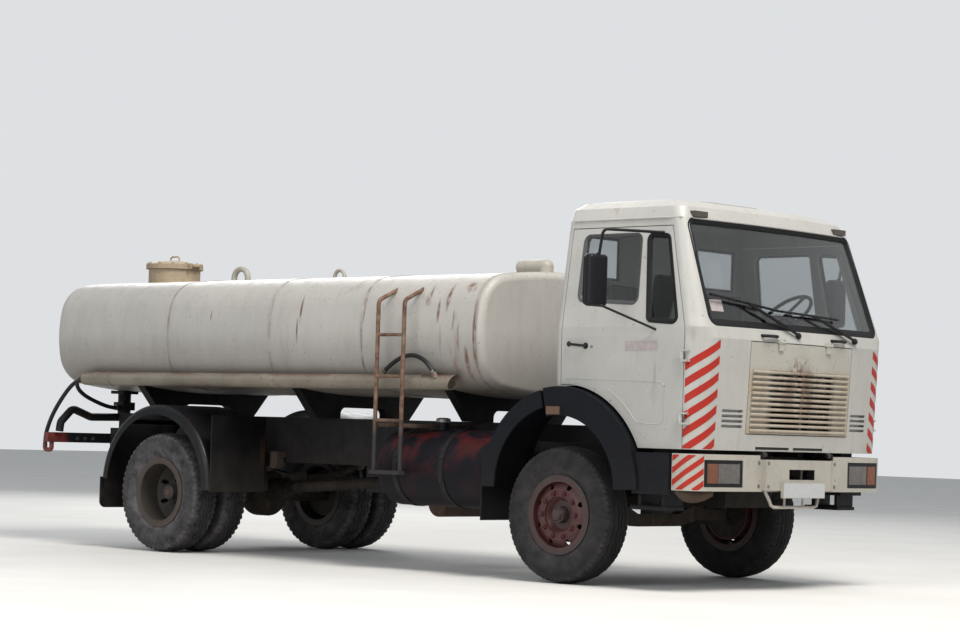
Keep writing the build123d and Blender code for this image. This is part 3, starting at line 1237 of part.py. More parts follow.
def make_cab_inside():
    seats = []
    for side in (-1, 1):
        cushion = block(ahead(180), ahead(680), side * 310, side * 810, 1700, 1850)
        cushion = fillet(cushion.edges(), 40)
        back = side_plate([(ahead(130), 1840), (ahead(260), 1840), (ahead(190), 2250), (ahead(90), 2250)], 310, 810)
        back = fillet(back.edges(), 30)
        base = block(ahead(230), ahead(620), side * 350, side * 770, CAB_LOW_REAR_Z - 60, 1705) - under_floor(FLOOR_T)
        if side < 0:
            back = mirrored(back)
        seats.append(cushion + back + base)
    save("seats", *seats)
    dash_profile = [(ahead(1300), 1700), (ahead(1300), 1925), (ahead(1120), 1925), (ahead(1010), 1850), (ahead(1010), 1700)]
    dash = side_plate(dash_profile, -1060, 1060) & cab_solid(CAB_WALL)
    save("dashboard", dash)
    column_top = (ahead(800), 560, 2090)
    column = rod((ahead(1050), 560, 1780), column_top, 32)
    plane = Plane(origin=column_top, z_dir=(ahead(800) - ahead(1050), 0, 2090 - 1780))
    ring = plane * Torus(215, 14)
    spokes = plane * Box(430, 26, 14)
    save("steering_wheel", (column - dash) + ring + spokes)


# Wipers: pivot, then the blade's far and near ends, each as y and height
WIPERS = (
    ((-85, 1888), (-1000, 2150), (-250, 2065)),
    ((665, 1880), (-225, 2065), (500, 2040)),
)


def on_screen(place, out):
    """Point so far out from the cab's front, at a y and height near the screen."""
    y, z = place
    belt_z, belt_face, half, _, _ = CAB_SECTIONS[2]
    top_z, top_face, _, _, _ = CAB_SECTIONS[3]
    lean = (z - belt_z) * (belt_face - top_face) / (top_z - belt_z)
    return (ahead(belt_face - lean - CAB_FRONT_BOW * (y / half) ** 2) + out, y, z)


def make_cab_trim():
    body = cab_solid(0)
    handles = []
    for side in (-1, 1):
        y = side * 432
        x = ahead(1380)
        z = 1872
        path = [(x - 60, y - 80, z), (x + 17, y - 80, z), (x + 17, y + 80, z), (x - 60, y + 80, z)]
        handles.append(bent_bar(path, 18, 12) - body)
    save("grab_handles", *handles)
    wipers = []
    for pivot, far, near in WIPERS:
        middle = ((far[0] + near[0]) / 2, (far[1] + near[1]) / 2)
        arm = rod(on_screen(pivot, -30), on_screen(pivot, 22), 16) + rod(on_screen(pivot, 16), on_screen(middle, 22), 7)
        wipers.append(fuse([arm, rod(on_screen(far, 17), on_screen(near, 17), 9)]) - cab_solid(-1))
    save("wipers", *wipers)
    hatch = block(ahead(330), ahead(690), -330, 330, ROOF_TOP - 10, ROOF_TOP + 18)
    hatch = fillet(hatch.edges().filter_by(Axis.Z), 60)
    save("roof_hatch", hatch - body)
    lamps = []
    for side in (-1, 1):
        corner = block(ahead(1000), ahead(1064), side * 800, side * 950, 2722, 2764) - body
        marker = block(ahead(-68), ahead(62), side * (BODY_HALF_W - 20), side * (BODY_HALF_W - 6), 1258, 1318)
        lamps += [corner, marker]
    save("marker_lamps", *lamps)


def make_mirrors():
    head = block(ahead(560), ahead(640), 1400, 1600, 2040, 2420)
    head = fillet(head.edges(), 30)
    arm = bent_bar([(ahead(880), 1075, 2600), (ahead(660), 1500, 2600), (ahead(620), 1500, 2380)], 40, 11)
    low = rod((ahead(905), 1160, 1885), (ahead(620), 1500, 2060), 9)
    left = fuse([head, arm, low]) - cab_solid(0)
    save("mirror_left", left)
    save("mirror_right", mirrored(left))


def main():
    make_wheels()
    make_front_axle()
    make_knuckles()
    make_springs()
    make_rear_axle()
    make_driveline()
    make_frame()
    make_tank()
    make_cradle()
    make_manhole()
    make_tank_fittings()
    make_hose_tubes()
    make_ladder()
    make_fuel_drum()
    make_reservoirs()
    make_boxes()
    make_exhaust()
    make_cab_rest()
    make_rear_fenders()
    make_arches()
    make_bumper()
    make_tilt_brackets()
    make_rear_gear()
    make_hoses()
    make_cab()
    make_cab_inside()
    make_cab_trim()
    make_mirrors()
    for name, shape in NODES.items():
        export_step(shape, f"parts/{name}.step")


main()
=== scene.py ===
import math

import bmesh
import bpy
from mathutils import Matrix, Vector
from mathutils.bvhtree import BVHTree


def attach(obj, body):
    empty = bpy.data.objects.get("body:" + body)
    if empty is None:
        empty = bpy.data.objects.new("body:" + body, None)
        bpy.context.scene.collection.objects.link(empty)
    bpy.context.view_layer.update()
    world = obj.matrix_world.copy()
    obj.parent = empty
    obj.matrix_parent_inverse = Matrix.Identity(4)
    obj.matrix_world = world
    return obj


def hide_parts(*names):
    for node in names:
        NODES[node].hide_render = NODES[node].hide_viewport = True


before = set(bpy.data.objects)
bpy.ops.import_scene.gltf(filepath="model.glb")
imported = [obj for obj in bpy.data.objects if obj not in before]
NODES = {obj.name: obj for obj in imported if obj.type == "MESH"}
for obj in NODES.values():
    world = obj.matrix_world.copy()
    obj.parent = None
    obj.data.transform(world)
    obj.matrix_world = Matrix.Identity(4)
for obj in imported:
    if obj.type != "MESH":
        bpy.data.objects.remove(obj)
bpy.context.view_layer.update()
AX1 = 2.455
AX2 = -2.045
WHEEL_Z = 0.512
SIDES = ((1, "left"), (-1, "right"))


def add_object(name, data):
    obj = bpy.data.objects.new(name, data)
    bpy.context.scene.collection.objects.link(obj)
    return obj


def circle(count, shift=0.0):
    """Cosine and sine of evenly spaced angles."""
    return [(math.cos(a), math.sin(a)) for a in (2 * math.pi * (k + shift) / count for k in range(count))]


# Camera matched to the photograph
CAM_PLACE = (15.039, -15.634, 1.107)
CAM_YAW = math.radians(132.849)
CAM_PITCH = math.radians(2.5056)
CAM_ROLL = math.radians(1.7005)
CAM_LENS = 96.317
ahead = Vector((math.cos(CAM_PITCH) * math.cos(CAM_YAW), math.cos(CAM_PITCH) * math.sin(CAM_YAW),
                math.sin(CAM_PITCH)))
level = ahead.cross(Vector((0, 0, 1))).normalized()
upright = level.cross(ahead)
right = level * math.cos(CAM_ROLL) + upright * math.sin(CAM_ROLL)
up = upright * math.cos(CAM_ROLL) - level * math.sin(CAM_ROLL)
cam_data = bpy.data.cameras.new("camera")
cam_data.sensor_width = 36.0
cam_data.lens = CAM_LENS
cam_data.clip_end = 300.0
camera = add_object("camera", cam_data)
camera.matrix_world = Matrix.Translation(CAM_PLACE) @ Matrix((right, up, -ahead)).transposed().to_4x4()
bpy.context.scene.camera = camera
bpy.context.scene.view_settings.view_transform = "Standard"


# Node trees for the materials
class Tree:
    """Material under construction; each method adds one node and returns its output socket."""

    def __init__(self, name):
        self.mat = bpy.data.materials.new(name)
        self.mat.use_nodes = True
        self.nt = self.mat.node_tree
        self.nt.nodes.clear()
        self.out = self.nt.nodes.new("ShaderNodeOutputMaterial")
        self.bsdf = self.nt.nodes.new("ShaderNodeBsdfPrincipled")
        self.nt.links.new(self.bsdf.outputs[0], self.out.inputs[0])
        self.coord = self.nt.nodes.new("ShaderNodeTexCoord").outputs["Object"]

    def put(self, socket, value):
        if isinstance(value, bpy.types.NodeSocket):
            self.nt.links.new(value, socket)
        elif isinstance(value, (tuple, list)) and len(value) == 3 and socket.type == "RGBA":
            socket.default_value = (*value, 1.0)
        else:
            socket.default_value = value

    def set(self, name, value):
        self.put(self.bsdf.inputs[name], value)

    def node(self, kind, values, **settings):
        node = self.nt.nodes.new("ShaderNode" + kind)
        for name, value in settings.items():
            setattr(node, name, value)
        for key, value in values.items():
            self.put(node.inputs[key], value)
        return node

    def stretched(self, scale):
        return self.node("Mapping", {"Vector": self.coord, "Scale": scale}).outputs[0]

    def noise(self, scale, detail=4.0, rough=0.55, vector=None):
        values = {"Vector": vector or self.coord, "Scale": scale, "Detail": detail, "Roughness": rough}
        return self.node("TexNoise", values).outputs["Fac"]

    def ramp(self, value, stops):
        node = self.node("ValToRGB", {0: value})
        elements = node.color_ramp.elements
        while len(elements) < len(stops):
            elements.new(0.5)
        for element, (place, level) in zip(elements, stops):
            element.position = place
            element.color = (*level, 1.0) if isinstance(level, tuple) else (level, level, level, 1.0)
        return node.outputs[0]

    def math(self, kind, a, b=0.0, clamp=False):
        return self.node("Math", {0: a, 1: b}, operation=kind, use_clamp=clamp).outputs[0]

    def mix(self, fac, a, b):
        return self.node("Mix", {0: fac, 6: a, 7: b}, data_type="RGBA").outputs[2]

    def axis(self, index):
        return self.node("SeparateXYZ", {0: self.coord}).outputs[index]

    def radius(self, x, z):
        """Distance from a wheel's axis."""
        dx = self.math("SUBTRACT", self.axis(0), x)
        dz = self.math("SUBTRACT", self.axis(2), z)
        return self.math("SQRT", self.math("ADD", self.times(dx, dx), self.times(dz, dz)))

    def range(self, value, low, high):
        return self.node("MapRange", {0: value, 1: low, 2: high}).outputs[0]

    def bump(self, height, strength, distance):
        values = {"Strength": strength, "Distance": distance, "Height": height}
        self.set("Normal", self.node("Bump", values).outputs[0])

    def times(self, a, b):
        return self.math("MULTIPLY", a, b)

    def cloud(self, low, high, *noise):
        """Noise cut to run from 0 at low to 1 at high."""
        return self.ramp(self.noise(*noise), [(low, 0.0), (high, 1.0)])

    def rise(self, value, low, high):
        return self.ramp(self.range(value, low, high), [(0.0, 0.0), (1.0, 1.0)])

    def fall(self, value, low, high):
        return self.ramp(self.range(value, low, high), [(0.0, 1.0), (1.0, 0.0)])

    def done(self, color, rough, grain, strength, distance):
        """Sets the colour, the roughness and the grain, given as a noise, and returns the material."""
        self.set("Base Color", color)
        self.set("Roughness", rough)
        self.bump(self.noise(*grain), strength, distance)
        return self.mat

    def patch(self, centre, reach, axes):
        """Mask that is 1 at a place and fades to 0 at its reach, along the axes given."""
        total = None
        for axis, middle, size in zip(axes, centre, reach):
            offset = self.math("DIVIDE", self.math("SUBTRACT", self.axis(axis), middle), size)
            square = self.times(offset, offset)
            total = square if total is None else self.math("ADD", total, square)
        return self.math("SUBTRACT", 1.0, total, clamp=True)


RUST = (0.16, 0.055, 0.022)
RUST_DARK = (0.045, 0.02, 0.012)
DUST = (0.30, 0.24, 0.18)


def paint(name, base, shade=0.88, rough=0.42, streak=0.0, spots=0.0, dust=0.0, dust_top=1.4, grime=0.25, gloss=0.5,
          dark_below=0.0, hole_shade=False):
    """Weathered paint: cloudy tone, grime, rust streaks that run down, rust spots and dust that is thicker low down.

    dark_below blackens what lies under a height, and the switch after it paints shade, near black, inside the bumper's
    opening.
    """
    t = Tree(name)
    cloud = t.cloud(0.32, 0.68, 1.7, 5.0)
    color = t.mix(cloud, tuple(c * shade for c in base), base)
    fine = t.cloud(0.48, 0.78, 14.0, 6.0, 0.65, t.stretched((1.0, 1.0, 0.35)))
    color = t.mix(t.times(fine, grime), color, tuple(c * 0.45 for c in base))
    rust_mask = 0.0
    if streak:
        run = t.cloud(0.62 - 0.1 * streak, 0.74, 9.0, 5.0, 0.6, t.stretched((1.0, 1.0, 0.10)))
        patch = t.cloud(0.50 - 0.1 * streak, 0.66, 1.3, 3.0)
        rust_mask = t.times(run, patch)
        color = t.mix(t.times(rust_mask, 0.75), color, RUST)
    if spots:
        dots = t.cloud(0.70 - 0.08 * spots, 0.76 - 0.06 * spots, 46.0, 3.0, 0.5)
        color = t.mix(t.times(dots, 0.8), color, RUST)
    if dust:
        low = t.fall(t.axis(2), 0.3, dust_top)
        spread = t.ramp(t.noise(6.0, 6.0, 0.7), [(0.35, 0.25), (0.7, 1.0)])
        color = t.mix(t.times(t.times(low, spread), dust), color, DUST)
    if dark_below:
        under = t.fall(t.axis(2), dark_below, dark_below + 0.004)
        color = t.mix(under, color, (0.012, 0.012, 0.013))
    # Painted shade inside the bumper's opening: near black behind its face, within its width and height.
    if hole_shade:
        behind = t.fall(t.axis(0), AX1 + 1.381, AX1 + 1.384)
        across = t.fall(t.math("ABSOLUTE", t.axis(1)), 0.1615, 0.1625)
        height = t.math("ABSOLUTE", t.math("SUBTRACT", t.axis(2), 0.8625))
        near = t.fall(height, 0.0385, 0.0395)
        color = t.mix(t.times(t.times(behind, across), near), color, (0.010, 0.009, 0.008))
    t.set("Specular IOR Level", gloss)
    return t.done(color, t.math("ADD", rough, t.times(fine, 0.22)), (60.0, 4.0, 0.6), 0.12, 0.002)


CREAM = (0.418, 0.406, 0.376)
M = {}
M["cab"] = paint("cab_paint", CREAM, streak=0.25, spots=0.12, dust=0.10, dust_top=1.3, grime=0.14, rough=0.34,
                 dark_below=1.026)
M["bumper"] = paint("bumper_paint", (0.395, 0.370, 0.318), streak=0.45, spots=0.35, dust=0.30, dust_top=1.0,
                    grime=0.25, rough=0.38, hole_shade=True)


LOUVRE_Z = 1.180
LOUVRE_PITCH = 0.039


def flap_paint():
    """Cream flap, beige and dirty over its louvres, with painted shade in the gaps between the louvre bars, a rust
    patch under its middle and a rust line.
    """
    t = Tree("flap_paint")
    cloud = t.cloud(0.32, 0.68, 2.2, 5.0)
    color = t.mix(cloud, (0.355, 0.330, 0.285), (0.41, 0.39, 0.345))
    low = t.fall(t.axis(2), 1.60, 1.66)
    grime = t.ramp(t.noise(11.0, 6.0, 0.65), [(0.40, 0.25), (0.72, 1.0)])
    color = t.mix(t.times(low, grime), color, (0.33, 0.245, 0.150))
    # Painted shade in the gaps between the louvre bars, fainter over the outer zones and broken up by a noise.
    phase = t.math("FRACT", t.math("DIVIDE", t.math("SUBTRACT", t.axis(2), LOUVRE_Z), LOUVRE_PITCH))
    gap_shade = t.ramp(phase, [(0.18, 0.0), (0.32, 1.0), (0.70, 1.0), (0.82, 0.0)])
    inside = t.times(t.ramp(t.range(t.axis(2), 1.165, 1.625), [(0.0, 0.0), (0.01, 1.0), (0.99, 1.0), (1.0, 0.0)]),
                    t.ramp(t.math("ABSOLUTE", t.axis(1)), [(0.385, 1.0), (0.43, 0.45), (0.600, 0.45), (0.606, 0.0)]))
    gap_shade_noise = t.ramp(t.noise(9.0, 5.0, 0.65), [(0.30, 0.62), (0.62, 1.0)])
    color = t.mix(t.times(t.times(gap_shade, inside), gap_shade_noise), color, (0.024, 0.014, 0.009))
    spots = t.cloud(0.44, 0.62, 26.0, 4.0, 0.6)
    rust = t.times(t.patch((-0.05, 1.60), (0.20, 0.15), (1, 2)), spots)
    drips = t.ramp(t.noise(9.0, 4.0, 0.6, t.stretched((1.0, 1.0, 0.12))), [(0.44, 0.0), (0.58, 0.8)])
    rust = t.math("MAXIMUM", rust, t.times(t.patch((-0.02, 1.46), (0.34, 0.24), (1, 2)), drips))
    line = t.times(t.patch((0.392, 1.45), (0.012, 0.30), (1, 2)), spots)
    color = t.mix(t.times(t.math("MAXIMUM", rust, line), 0.95), color, (0.090, 0.036, 0.016))
    dots = t.cloud(0.64, 0.70, 40.0, 3.0, 0.5)
    color = t.mix(t.times(dots, 0.5), color, RUST)
    return t.done(color, 0.42, (60.0, 4.0, 0.6), 0.15, 0.002)


M["flap"] = flap_paint()
M["frame"] = paint("frame_paint", (0.006, 0.006, 0.008), shade=0.6, streak=0.12, dust=0.11, dust_top=1.45, grime=0.3,
                   rough=0.55, gloss=0.18)
M["iron"] = paint("axle_iron", (0.020, 0.017, 0.016), shade=0.5, streak=0.4, dust=0.18, dust_top=1.2, grime=0.5,
                  rough=0.7, gloss=0.2)
M["castings"] = paint("castings", (0.014, 0.012, 0.011), shade=0.6, streak=0.2, dust=0.08, dust_top=1.5, grime=0.5,
                      rough=0.65, gloss=0.15)
M["arch"] = paint("arch_plastic", (0.0055, 0.0065, 0.0095), shade=0.7, dust=0.05, dust_top=1.2, grime=0.3, rough=0.42,
                  gloss=0.13)
M["fender"] = paint("fender_metal", (0.004, 0.0045, 0.0065), shade=0.6, streak=0.2, dust=0.10, dust_top=1.25,
                    grime=0.5, rough=0.32, gloss=0.20)


def ladder_paint():
    """Rusty orange ladder, near black towards its foot."""
    t = Tree("ladder_paint")
    rust = t.cloud(0.36, 0.66, 16.0, 5.0, 0.65)
    upper = t.mix(rust, (0.190, 0.118, 0.075), (0.062, 0.024, 0.013))
    low = t.fall(t.axis(2), 1.05, 1.25)
    return t.done(t.mix(low, upper, (0.016, 0.014, 0.014)), 0.75, (70.0, 4.0, 0.6), 0.35, 0.002)


def beam_paint():
    """Black rear beam with worn red ends."""
    t = Tree("beam_paint")
    reach = t.math("ABSOLUTE", t.axis(1))
    end = t.ramp(t.range(reach, 0.90, 1.00), [(0.0, 0.0), (0.5, 1.0)])
    worn = t.ramp(t.noise(13.0, 5.0, 0.6), [(0.35, 0.35), (0.62, 1.0)])
    color = t.mix(t.times(end, worn), (0.009, 0.008, 0.009), (0.150, 0.022, 0.018))
    return t.done(color, 0.5, (50.0, 4.0, 0.6), 0.2, 0.002)


M["ladder"] = ladder_paint()
M["beam"] = beam_paint()
M["fitting"] = paint("fitting_paint", (0.40, 0.37, 0.31), shade=0.8, streak=0.4, spots=0.4, grime=0.35, rough=0.5)
M["lid"] = paint("lid_metal", (0.46, 0.355, 0.235), shade=0.7, streak=0.9, spots=0.9, grime=0.6, rough=0.7)
M["spring"] = paint("spring_rust", (0.040, 0.024, 0.016), shade=0.5, streak=0.8, dust=0.1, grime=0.6, rough=0.75)
M["silencer"] = paint("silencer_rust", (0.075, 0.038, 0.024), shade=0.6, streak=0.6, dust=0.1, grime=0.5, rough=0.75)


def tube_paint():
    """Grey-cream tube with a rusty strip of dirt along its top."""
    t = Tree("tube_paint")
    cloud = t.cloud(0.32, 0.68, 3.0, 5.0)
    color = t.mix(cloud, (0.150, 0.128, 0.098), (0.205, 0.180, 0.142))
    top = t.rise(t.axis(2), 1.515, 1.545)
    broken = t.ramp(t.noise(8.0, 5.0, 0.65, t.stretched((0.5, 1.0, 1.0))), [(0.38, 0.15), (0.58, 1.0)])
    below = t.fall(t.axis(2), 1.60, 1.64)
    color = t.mix(t.times(t.times(top, broken), t.times(below, 0.85)), color, (0.075, 0.034, 0.020))
    spots = t.cloud(0.60, 0.67, 34.0, 3.0, 0.5)
    color = t.mix(t.times(spots, 0.6), color, RUST)
    return t.done(color, 0.5, (60.0, 4.0, 0.6), 0.15, 0.002)


M["tube"] = tube_paint()


def tank_paint():
    """Off-white tank paint with painted shade on its underside, and rust along the weld seams, on the top and by the
    front end.
    """
    t = Tree("tank_paint")
    base = (0.435, 0.412, 0.378)
    cloud = t.cloud(0.30, 0.70, 1.1, 5.0)
    color = t.mix(cloud, tuple(c * 0.86 for c in base), base)
    grime = t.cloud(0.46, 0.8, 11.0, 6.0, 0.65, t.stretched((1.0, 1.0, 0.25)))
    color = t.mix(t.times(grime, 0.30), color, (0.25, 0.22, 0.18))
    # Painted shade: the lower half of the tank darkens towards brown-grey, mostly left off the front end cap.
    low = t.ramp(t.range(t.axis(2), 1.35, 1.90), [(0.0, 1.0), (0.45, 0.55), (1.0, 0.0)])
    along = t.range(t.axis(0), *TANK_X)
    shade_on_barrel = t.ramp(along, [(0.976, 0.86), (0.992, 0.25)])
    color = t.mix(t.times(low, shade_on_barrel), color, (0.12, 0.098, 0.082))
    stops = [(0.0, 0.0)]
    for seam in SEAMS:
        place = (seam - TANK_X[0]) / (TANK_X[1] - TANK_X[0])
        stops += [(place - 0.0035, 0.0), (place, 1.0), (place + 0.0035, 0.0)]
    seam_mask = t.ramp(along, stops + [(1.0, 0.0)])
    broken = t.ramp(t.noise(5.0, 5.0, 0.65), [(0.40, 0.12), (0.60, 1.0)])
    color = t.mix(t.times(t.times(seam_mask, broken), 0.85), color, (0.085, 0.048, 0.032))
    run = t.cloud(0.55, 0.70, 10.0, 5.0, 0.6, t.stretched((1.0, 1.0, 0.09)))
    front = t.ramp(along, [(0.55, 0.05), (0.80, 0.50), (0.93, 1.0), (0.972, 1.0), (0.985, 0.06)])
    patch = t.cloud(0.46, 0.62, 1.9, 3.0)
    mask = t.times(t.times(run, patch), front)
    color = t.mix(t.times(mask, 0.8), color, RUST)
    top = t.rise(t.axis(2), 2.25, 2.42)
    spots = t.cloud(0.60, 0.68, 24.0, 4.0, 0.6)
    color = t.mix(t.times(t.times(top, spots), 0.7), color, RUST)
    dots = t.cloud(0.66, 0.72, 38.0, 3.0, 0.5)
    color = t.mix(t.times(dots, 0.45), color, RUST)
    edge = t.ramp(t.noise(20.0, 6.0, 0.70, t.stretched((1.0, 1.0, 0.35))), [(0.40, 0.05), (0.55, 1.0)])
    runs = None
    for x, z, wide, tall in RUST_RUNS:
        run_mask = t.patch((x, z), (wide, tall), (0, 2))
        runs = run_mask if runs is None else t.math("MAXIMUM", runs, run_mask)
    color = t.mix(t.times(runs, edge), color, (0.120, 0.042, 0.018))
    return t.done(color, t.math("ADD", 0.42, t.times(grime, 0.2)), (4.0, 3.0, 0.5), 0.25, 0.012)


TANK_X = (-3.9, 1.6)
SEAMS = (-2.20, -0.90, 0.20, 1.46)
# Rust runs on the tank: middle x and z, half width and half height
RUST_RUNS = (
    (-0.53, 2.08, 0.016, 0.14), (-0.56, 1.90, 0.013, 0.14), (0.92, 2.17, 0.034, 0.12), (1.05, 2.06, 0.020, 0.12),
    (1.14, 2.16, 0.026, 0.13), (1.22, 1.98, 0.012, 0.10), (1.34, 2.24, 0.07, 0.05), (1.36, 1.64, 0.030, 0.18),
    (1.45, 1.84, 0.022, 0.36), (1.464, 1.76, 0.008, 0.44), (0.22, 2.10, 0.012, 0.16), (-1.65, 2.04, 0.012, 0.06),
    (1.28, 1.86, 0.016, 0.14))
M["tank"] = tank_paint()


def drum_paint():
    """Dark red drum under black grime that leaves red patches, with painted reflected light, brownish and mottled, on
    its underside.
    """
    t = Tree("drum_paint")
    patch = t.cloud(0.47, 0.60, 5.0, 5.0, 0.6, t.stretched((1.0, 1.0, 0.7)))
    high = t.ramp(t.range(t.axis(2), 0.75, 1.12), [(0.0, 0.15), (1.0, 1.0)])
    color = t.mix(t.times(patch, high), (0.005, 0.005, 0.008), (0.060, 0.010, 0.010))
    # Painted reflected light: the underside turns a mottled brownish grey towards the bottom.
    dust = t.ramp(t.noise(9.0, 6.0, 0.7), [(0.45, 0.0), (0.75, 0.5)])
    low = t.ramp(t.range(t.axis(2), 0.45, 0.85), [(0.0, 1.0), (1.0, 0.15)])
    t.set("Specular IOR Level", 0.12)
    return t.done(t.mix(t.times(dust, low), color, (0.020, 0.016, 0.013)), 0.45, (30.0, 4.0, 0.6), 0.15, 0.003)


M["drum"] = drum_paint()


def wheel_paint(name, x, stops, rough):
    """Rim colours in rings about the wheel's axis, under dust."""
    t = Tree(name)
    rings = t.ramp(t.range(t.radius(x, WHEEL_Z), 0.0, 0.32), stops)
    worn = t.cloud(0.40, 0.72, 16.0, 6.0, 0.7)
    color = t.mix(t.times(worn, 0.30), rings, (0.060, 0.046, 0.038))
    spots = t.cloud(0.62, 0.70, 55.0, 3.0, 0.6)
    return t.done(t.mix(t.times(spots, 0.6), color, RUST_DARK), rough, (45.0, 4.0, 0.6), 0.2, 0.002)


M["front_rim"] = wheel_paint("front_rim_paint", AX1, [
    (0.0, (0.040, 0.024, 0.022)), (0.26, (0.032, 0.017, 0.016)), (0.36, (0.056, 0.011, 0.010)),
    (0.74, (0.054, 0.012, 0.011)), (0.86, (0.036, 0.018, 0.016)), (0.96, (0.022, 0.018, 0.016))], 0.55)
M["rear_rim"] = wheel_paint("rear_rim_paint", AX2, [
    (0.0, (0.085, 0.052, 0.042)), (0.20, (0.05, 0.038, 0.032)), (0.45, (0.030, 0.025, 0.021)),
    (0.80, (0.036, 0.030, 0.024)), (0.90, (0.060, 0.038, 0.028)), (1.0, (0.055, 0.036, 0.027))], 0.65)


def rubber_tyre(name, x, dusty):
    """Tyre rubber: dusty sidewall with fainter rings, darker worn tread."""
    t = Tree(name)
    r = t.radius(x, WHEEL_Z)
    side = t.ramp(t.range(r, 0.29, 0.52),
                  [(0.0, 0.9), (0.25, 0.55), (0.72, 0.35), (0.86, 0.7), (0.95, 0.25), (1.0, 0.12)])
    dust = t.ramp(t.noise(10.0, 6.0, 0.7), [(0.34, 0.15), (0.75, 1.0)])
    color = t.mix(t.times(side, dust), (0.008, 0.008, 0.009), dusty)
    t.set("Specular IOR Level", 0.25)
    return t.done(color, 0.82, (120.0, 3.0, 0.6), 0.25, 0.0015)


M["front_tyre"] = rubber_tyre("front_tyre_rubber", AX1, (0.072, 0.064, 0.063))
M["rear_tyre"] = rubber_tyre("rear_tyre_rubber", AX2, (0.200, 0.186, 0.188))


def plain(name, color, rough=0.5, metal=0.0, vary=0.25, scale=22.0, bump=0.12, coat=0.0, gloss=0.5):
    """Plain material with a faint change of tone and a fine surface."""
    t = Tree(name)
    tone = t.cloud(0.35, 0.7, scale, 5.0, 0.6)
    t.set("Base Color", t.mix(tone, tuple(c * (1 - vary) for c in color), color))
    t.set("Roughness", rough)
    t.set("Metallic", metal)
    t.set("Coat Weight", coat)
    t.set("Specular IOR Level", gloss)
    t.bump(t.noise(scale * 8, 3.0, 0.6), bump, 0.001)
    return t.mat


M["black"] = plain("black_plastic", (0.008, 0.008, 0.010), 0.40, gloss=0.22)
M["seal"] = plain("seal_rubber", (0.007, 0.007, 0.008), 0.6, gloss=0.2)
M["seal_grey"] = plain("seal_grey", (0.055, 0.056, 0.058), 0.55)
M["hose"] = plain("hose_rubber", (0.010, 0.010, 0.011), 0.45, scale=60.0, gloss=0.3)
# Near black for the painted shade over the slots under the flap
M["painted_slot_shade"] = plain("painted_slot_shade", (0.008, 0.007, 0.006), 0.8)
M["steel"] = plain("bare_steel", (0.22, 0.21, 0.20), 0.45, 0.8)
M["inside"] = plain("inside_panel", (0.20, 0.205, 0.21), 0.7, scale=30.0)
M["cloth"] = plain("seat_cloth", (0.10, 0.085, 0.07), 0.9, scale=140.0, bump=0.5)
M["stripe"] = paint("stripe_red", (0.37, 0.022, 0.013), shade=0.85, spots=0.1, grime=0.15, rough=0.45, gloss=0.25)
M["plate"] = plain("plate_white", (0.47, 0.47, 0.47), 0.35, vary=0.08)
M["sticker"] = plain("sticker_pale", (0.40, 0.345, 0.335), 0.5, vary=0.25)
M["red_lens"] = plain("red_lens", (0.35, 0.012, 0.010), 0.25, coat=0.4)
M["lens_face"] = plain("lens_face", (0.150, 0.135, 0.122), 0.16, 0.35, coat=0.35, bump=0.02)
M["lens_amber"] = plain("lens_amber", (0.190, 0.062, 0.026), 0.18, 0.1, coat=0.35, bump=0.02)
M["mirror_face"] = plain("mirror_face", (0.75, 0.76, 0.78), 0.03, 1.0, bump=0.0, vary=0.03)
M["tan"] = paint("tan_plate", (0.070, 0.047, 0.033), shade=0.7, streak=0.5, spots=0.3, dust=0.15, grime=0.6,
                 rough=0.7, gloss=0.2)


def glass(name, tint):
    t = Tree(name)
    t.set("Base Color", tint)
    t.set("Roughness", 0.03)
    t.set("IOR", 1.45)
    t.set("Transmission Weight", 1.0)
    return t.mat


def marker_paint():
    """Dull amber lens on the arches, grey with dirt on the lamps up on the roof."""
    t = Tree("amber_lens")
    high = t.rise(t.axis(2), 2.0, 2.4)
    dirt = t.ramp(t.noise(30.0, 5.0, 0.65), [(0.35, 0.0), (0.70, 0.7)])
    color = t.mix(dirt, t.mix(high, (0.130, 0.060, 0.028), (0.055, 0.040, 0.034)), (0.050, 0.042, 0.036))
    return t.done(color, 0.35, (180.0, 3.0, 0.6), 0.12, 0.001)


M["amber"] = marker_paint()
M["glass"] = glass("window_glass", (0.60, 0.625, 0.63))

NODE_MATERIALS = {
    "frame": "ladder_frame tank_cradle drum_straps air_reservoirs battery_box cab_rest tilt_brackets water_outlet",
    "castings": "engine_block gearbox",
    "iron": "propshaft radiator front_axle_beam front_springs rear_axle knuckle_left knuckle_right",
    "spring": "rear_springs",
    "tank": "tank_shell",
    "lid": "manhole_neck manhole_lid",
    "fitting": "tank_fittings",
    "tube": "hose_tubes",
    "ladder": "ladder",
    "drum": "fuel_drum",
    "silencer": "silencer",
    "amber": "marker_lamps",
    "fender": "rear_fenders",
    "arch": "chassis_arches cab_arches",
    "bumper": "bumper",
    "black": "headlamps steering_wheel grab_handles wipers mirror_left mirror_right",
    "red_lens": "tail_lamps",
    "beam": "rear_beam",
    "cab": "cab_shell roof_hatch door_left door_right",
    "glass": "cab_glass door_glass_left door_glass_right",
    "cloth": "seats",
    "inside": "dashboard",
    "flap": "front_flap",
    "front_rim": "front_rim_left front_rim_right",
    "rear_rim": "rear_rims_left rear_rims_right",
    "front_tyre": "front_tyre_left front_tyre_right",
    "rear_tyre": "rear_tyres_left rear_tyres_right",
    "hose": "rear_hose_outer rear_hose_inner front_hose_loop",
}
for key, names in NODE_MATERIALS.items():
    for node_name in names.split():
        data = NODES[node_name].data
        if not data.materials:
            data.materials.append(M[key])
        for index in range(len(data.materials)):
            data.materials[index] = M[key]


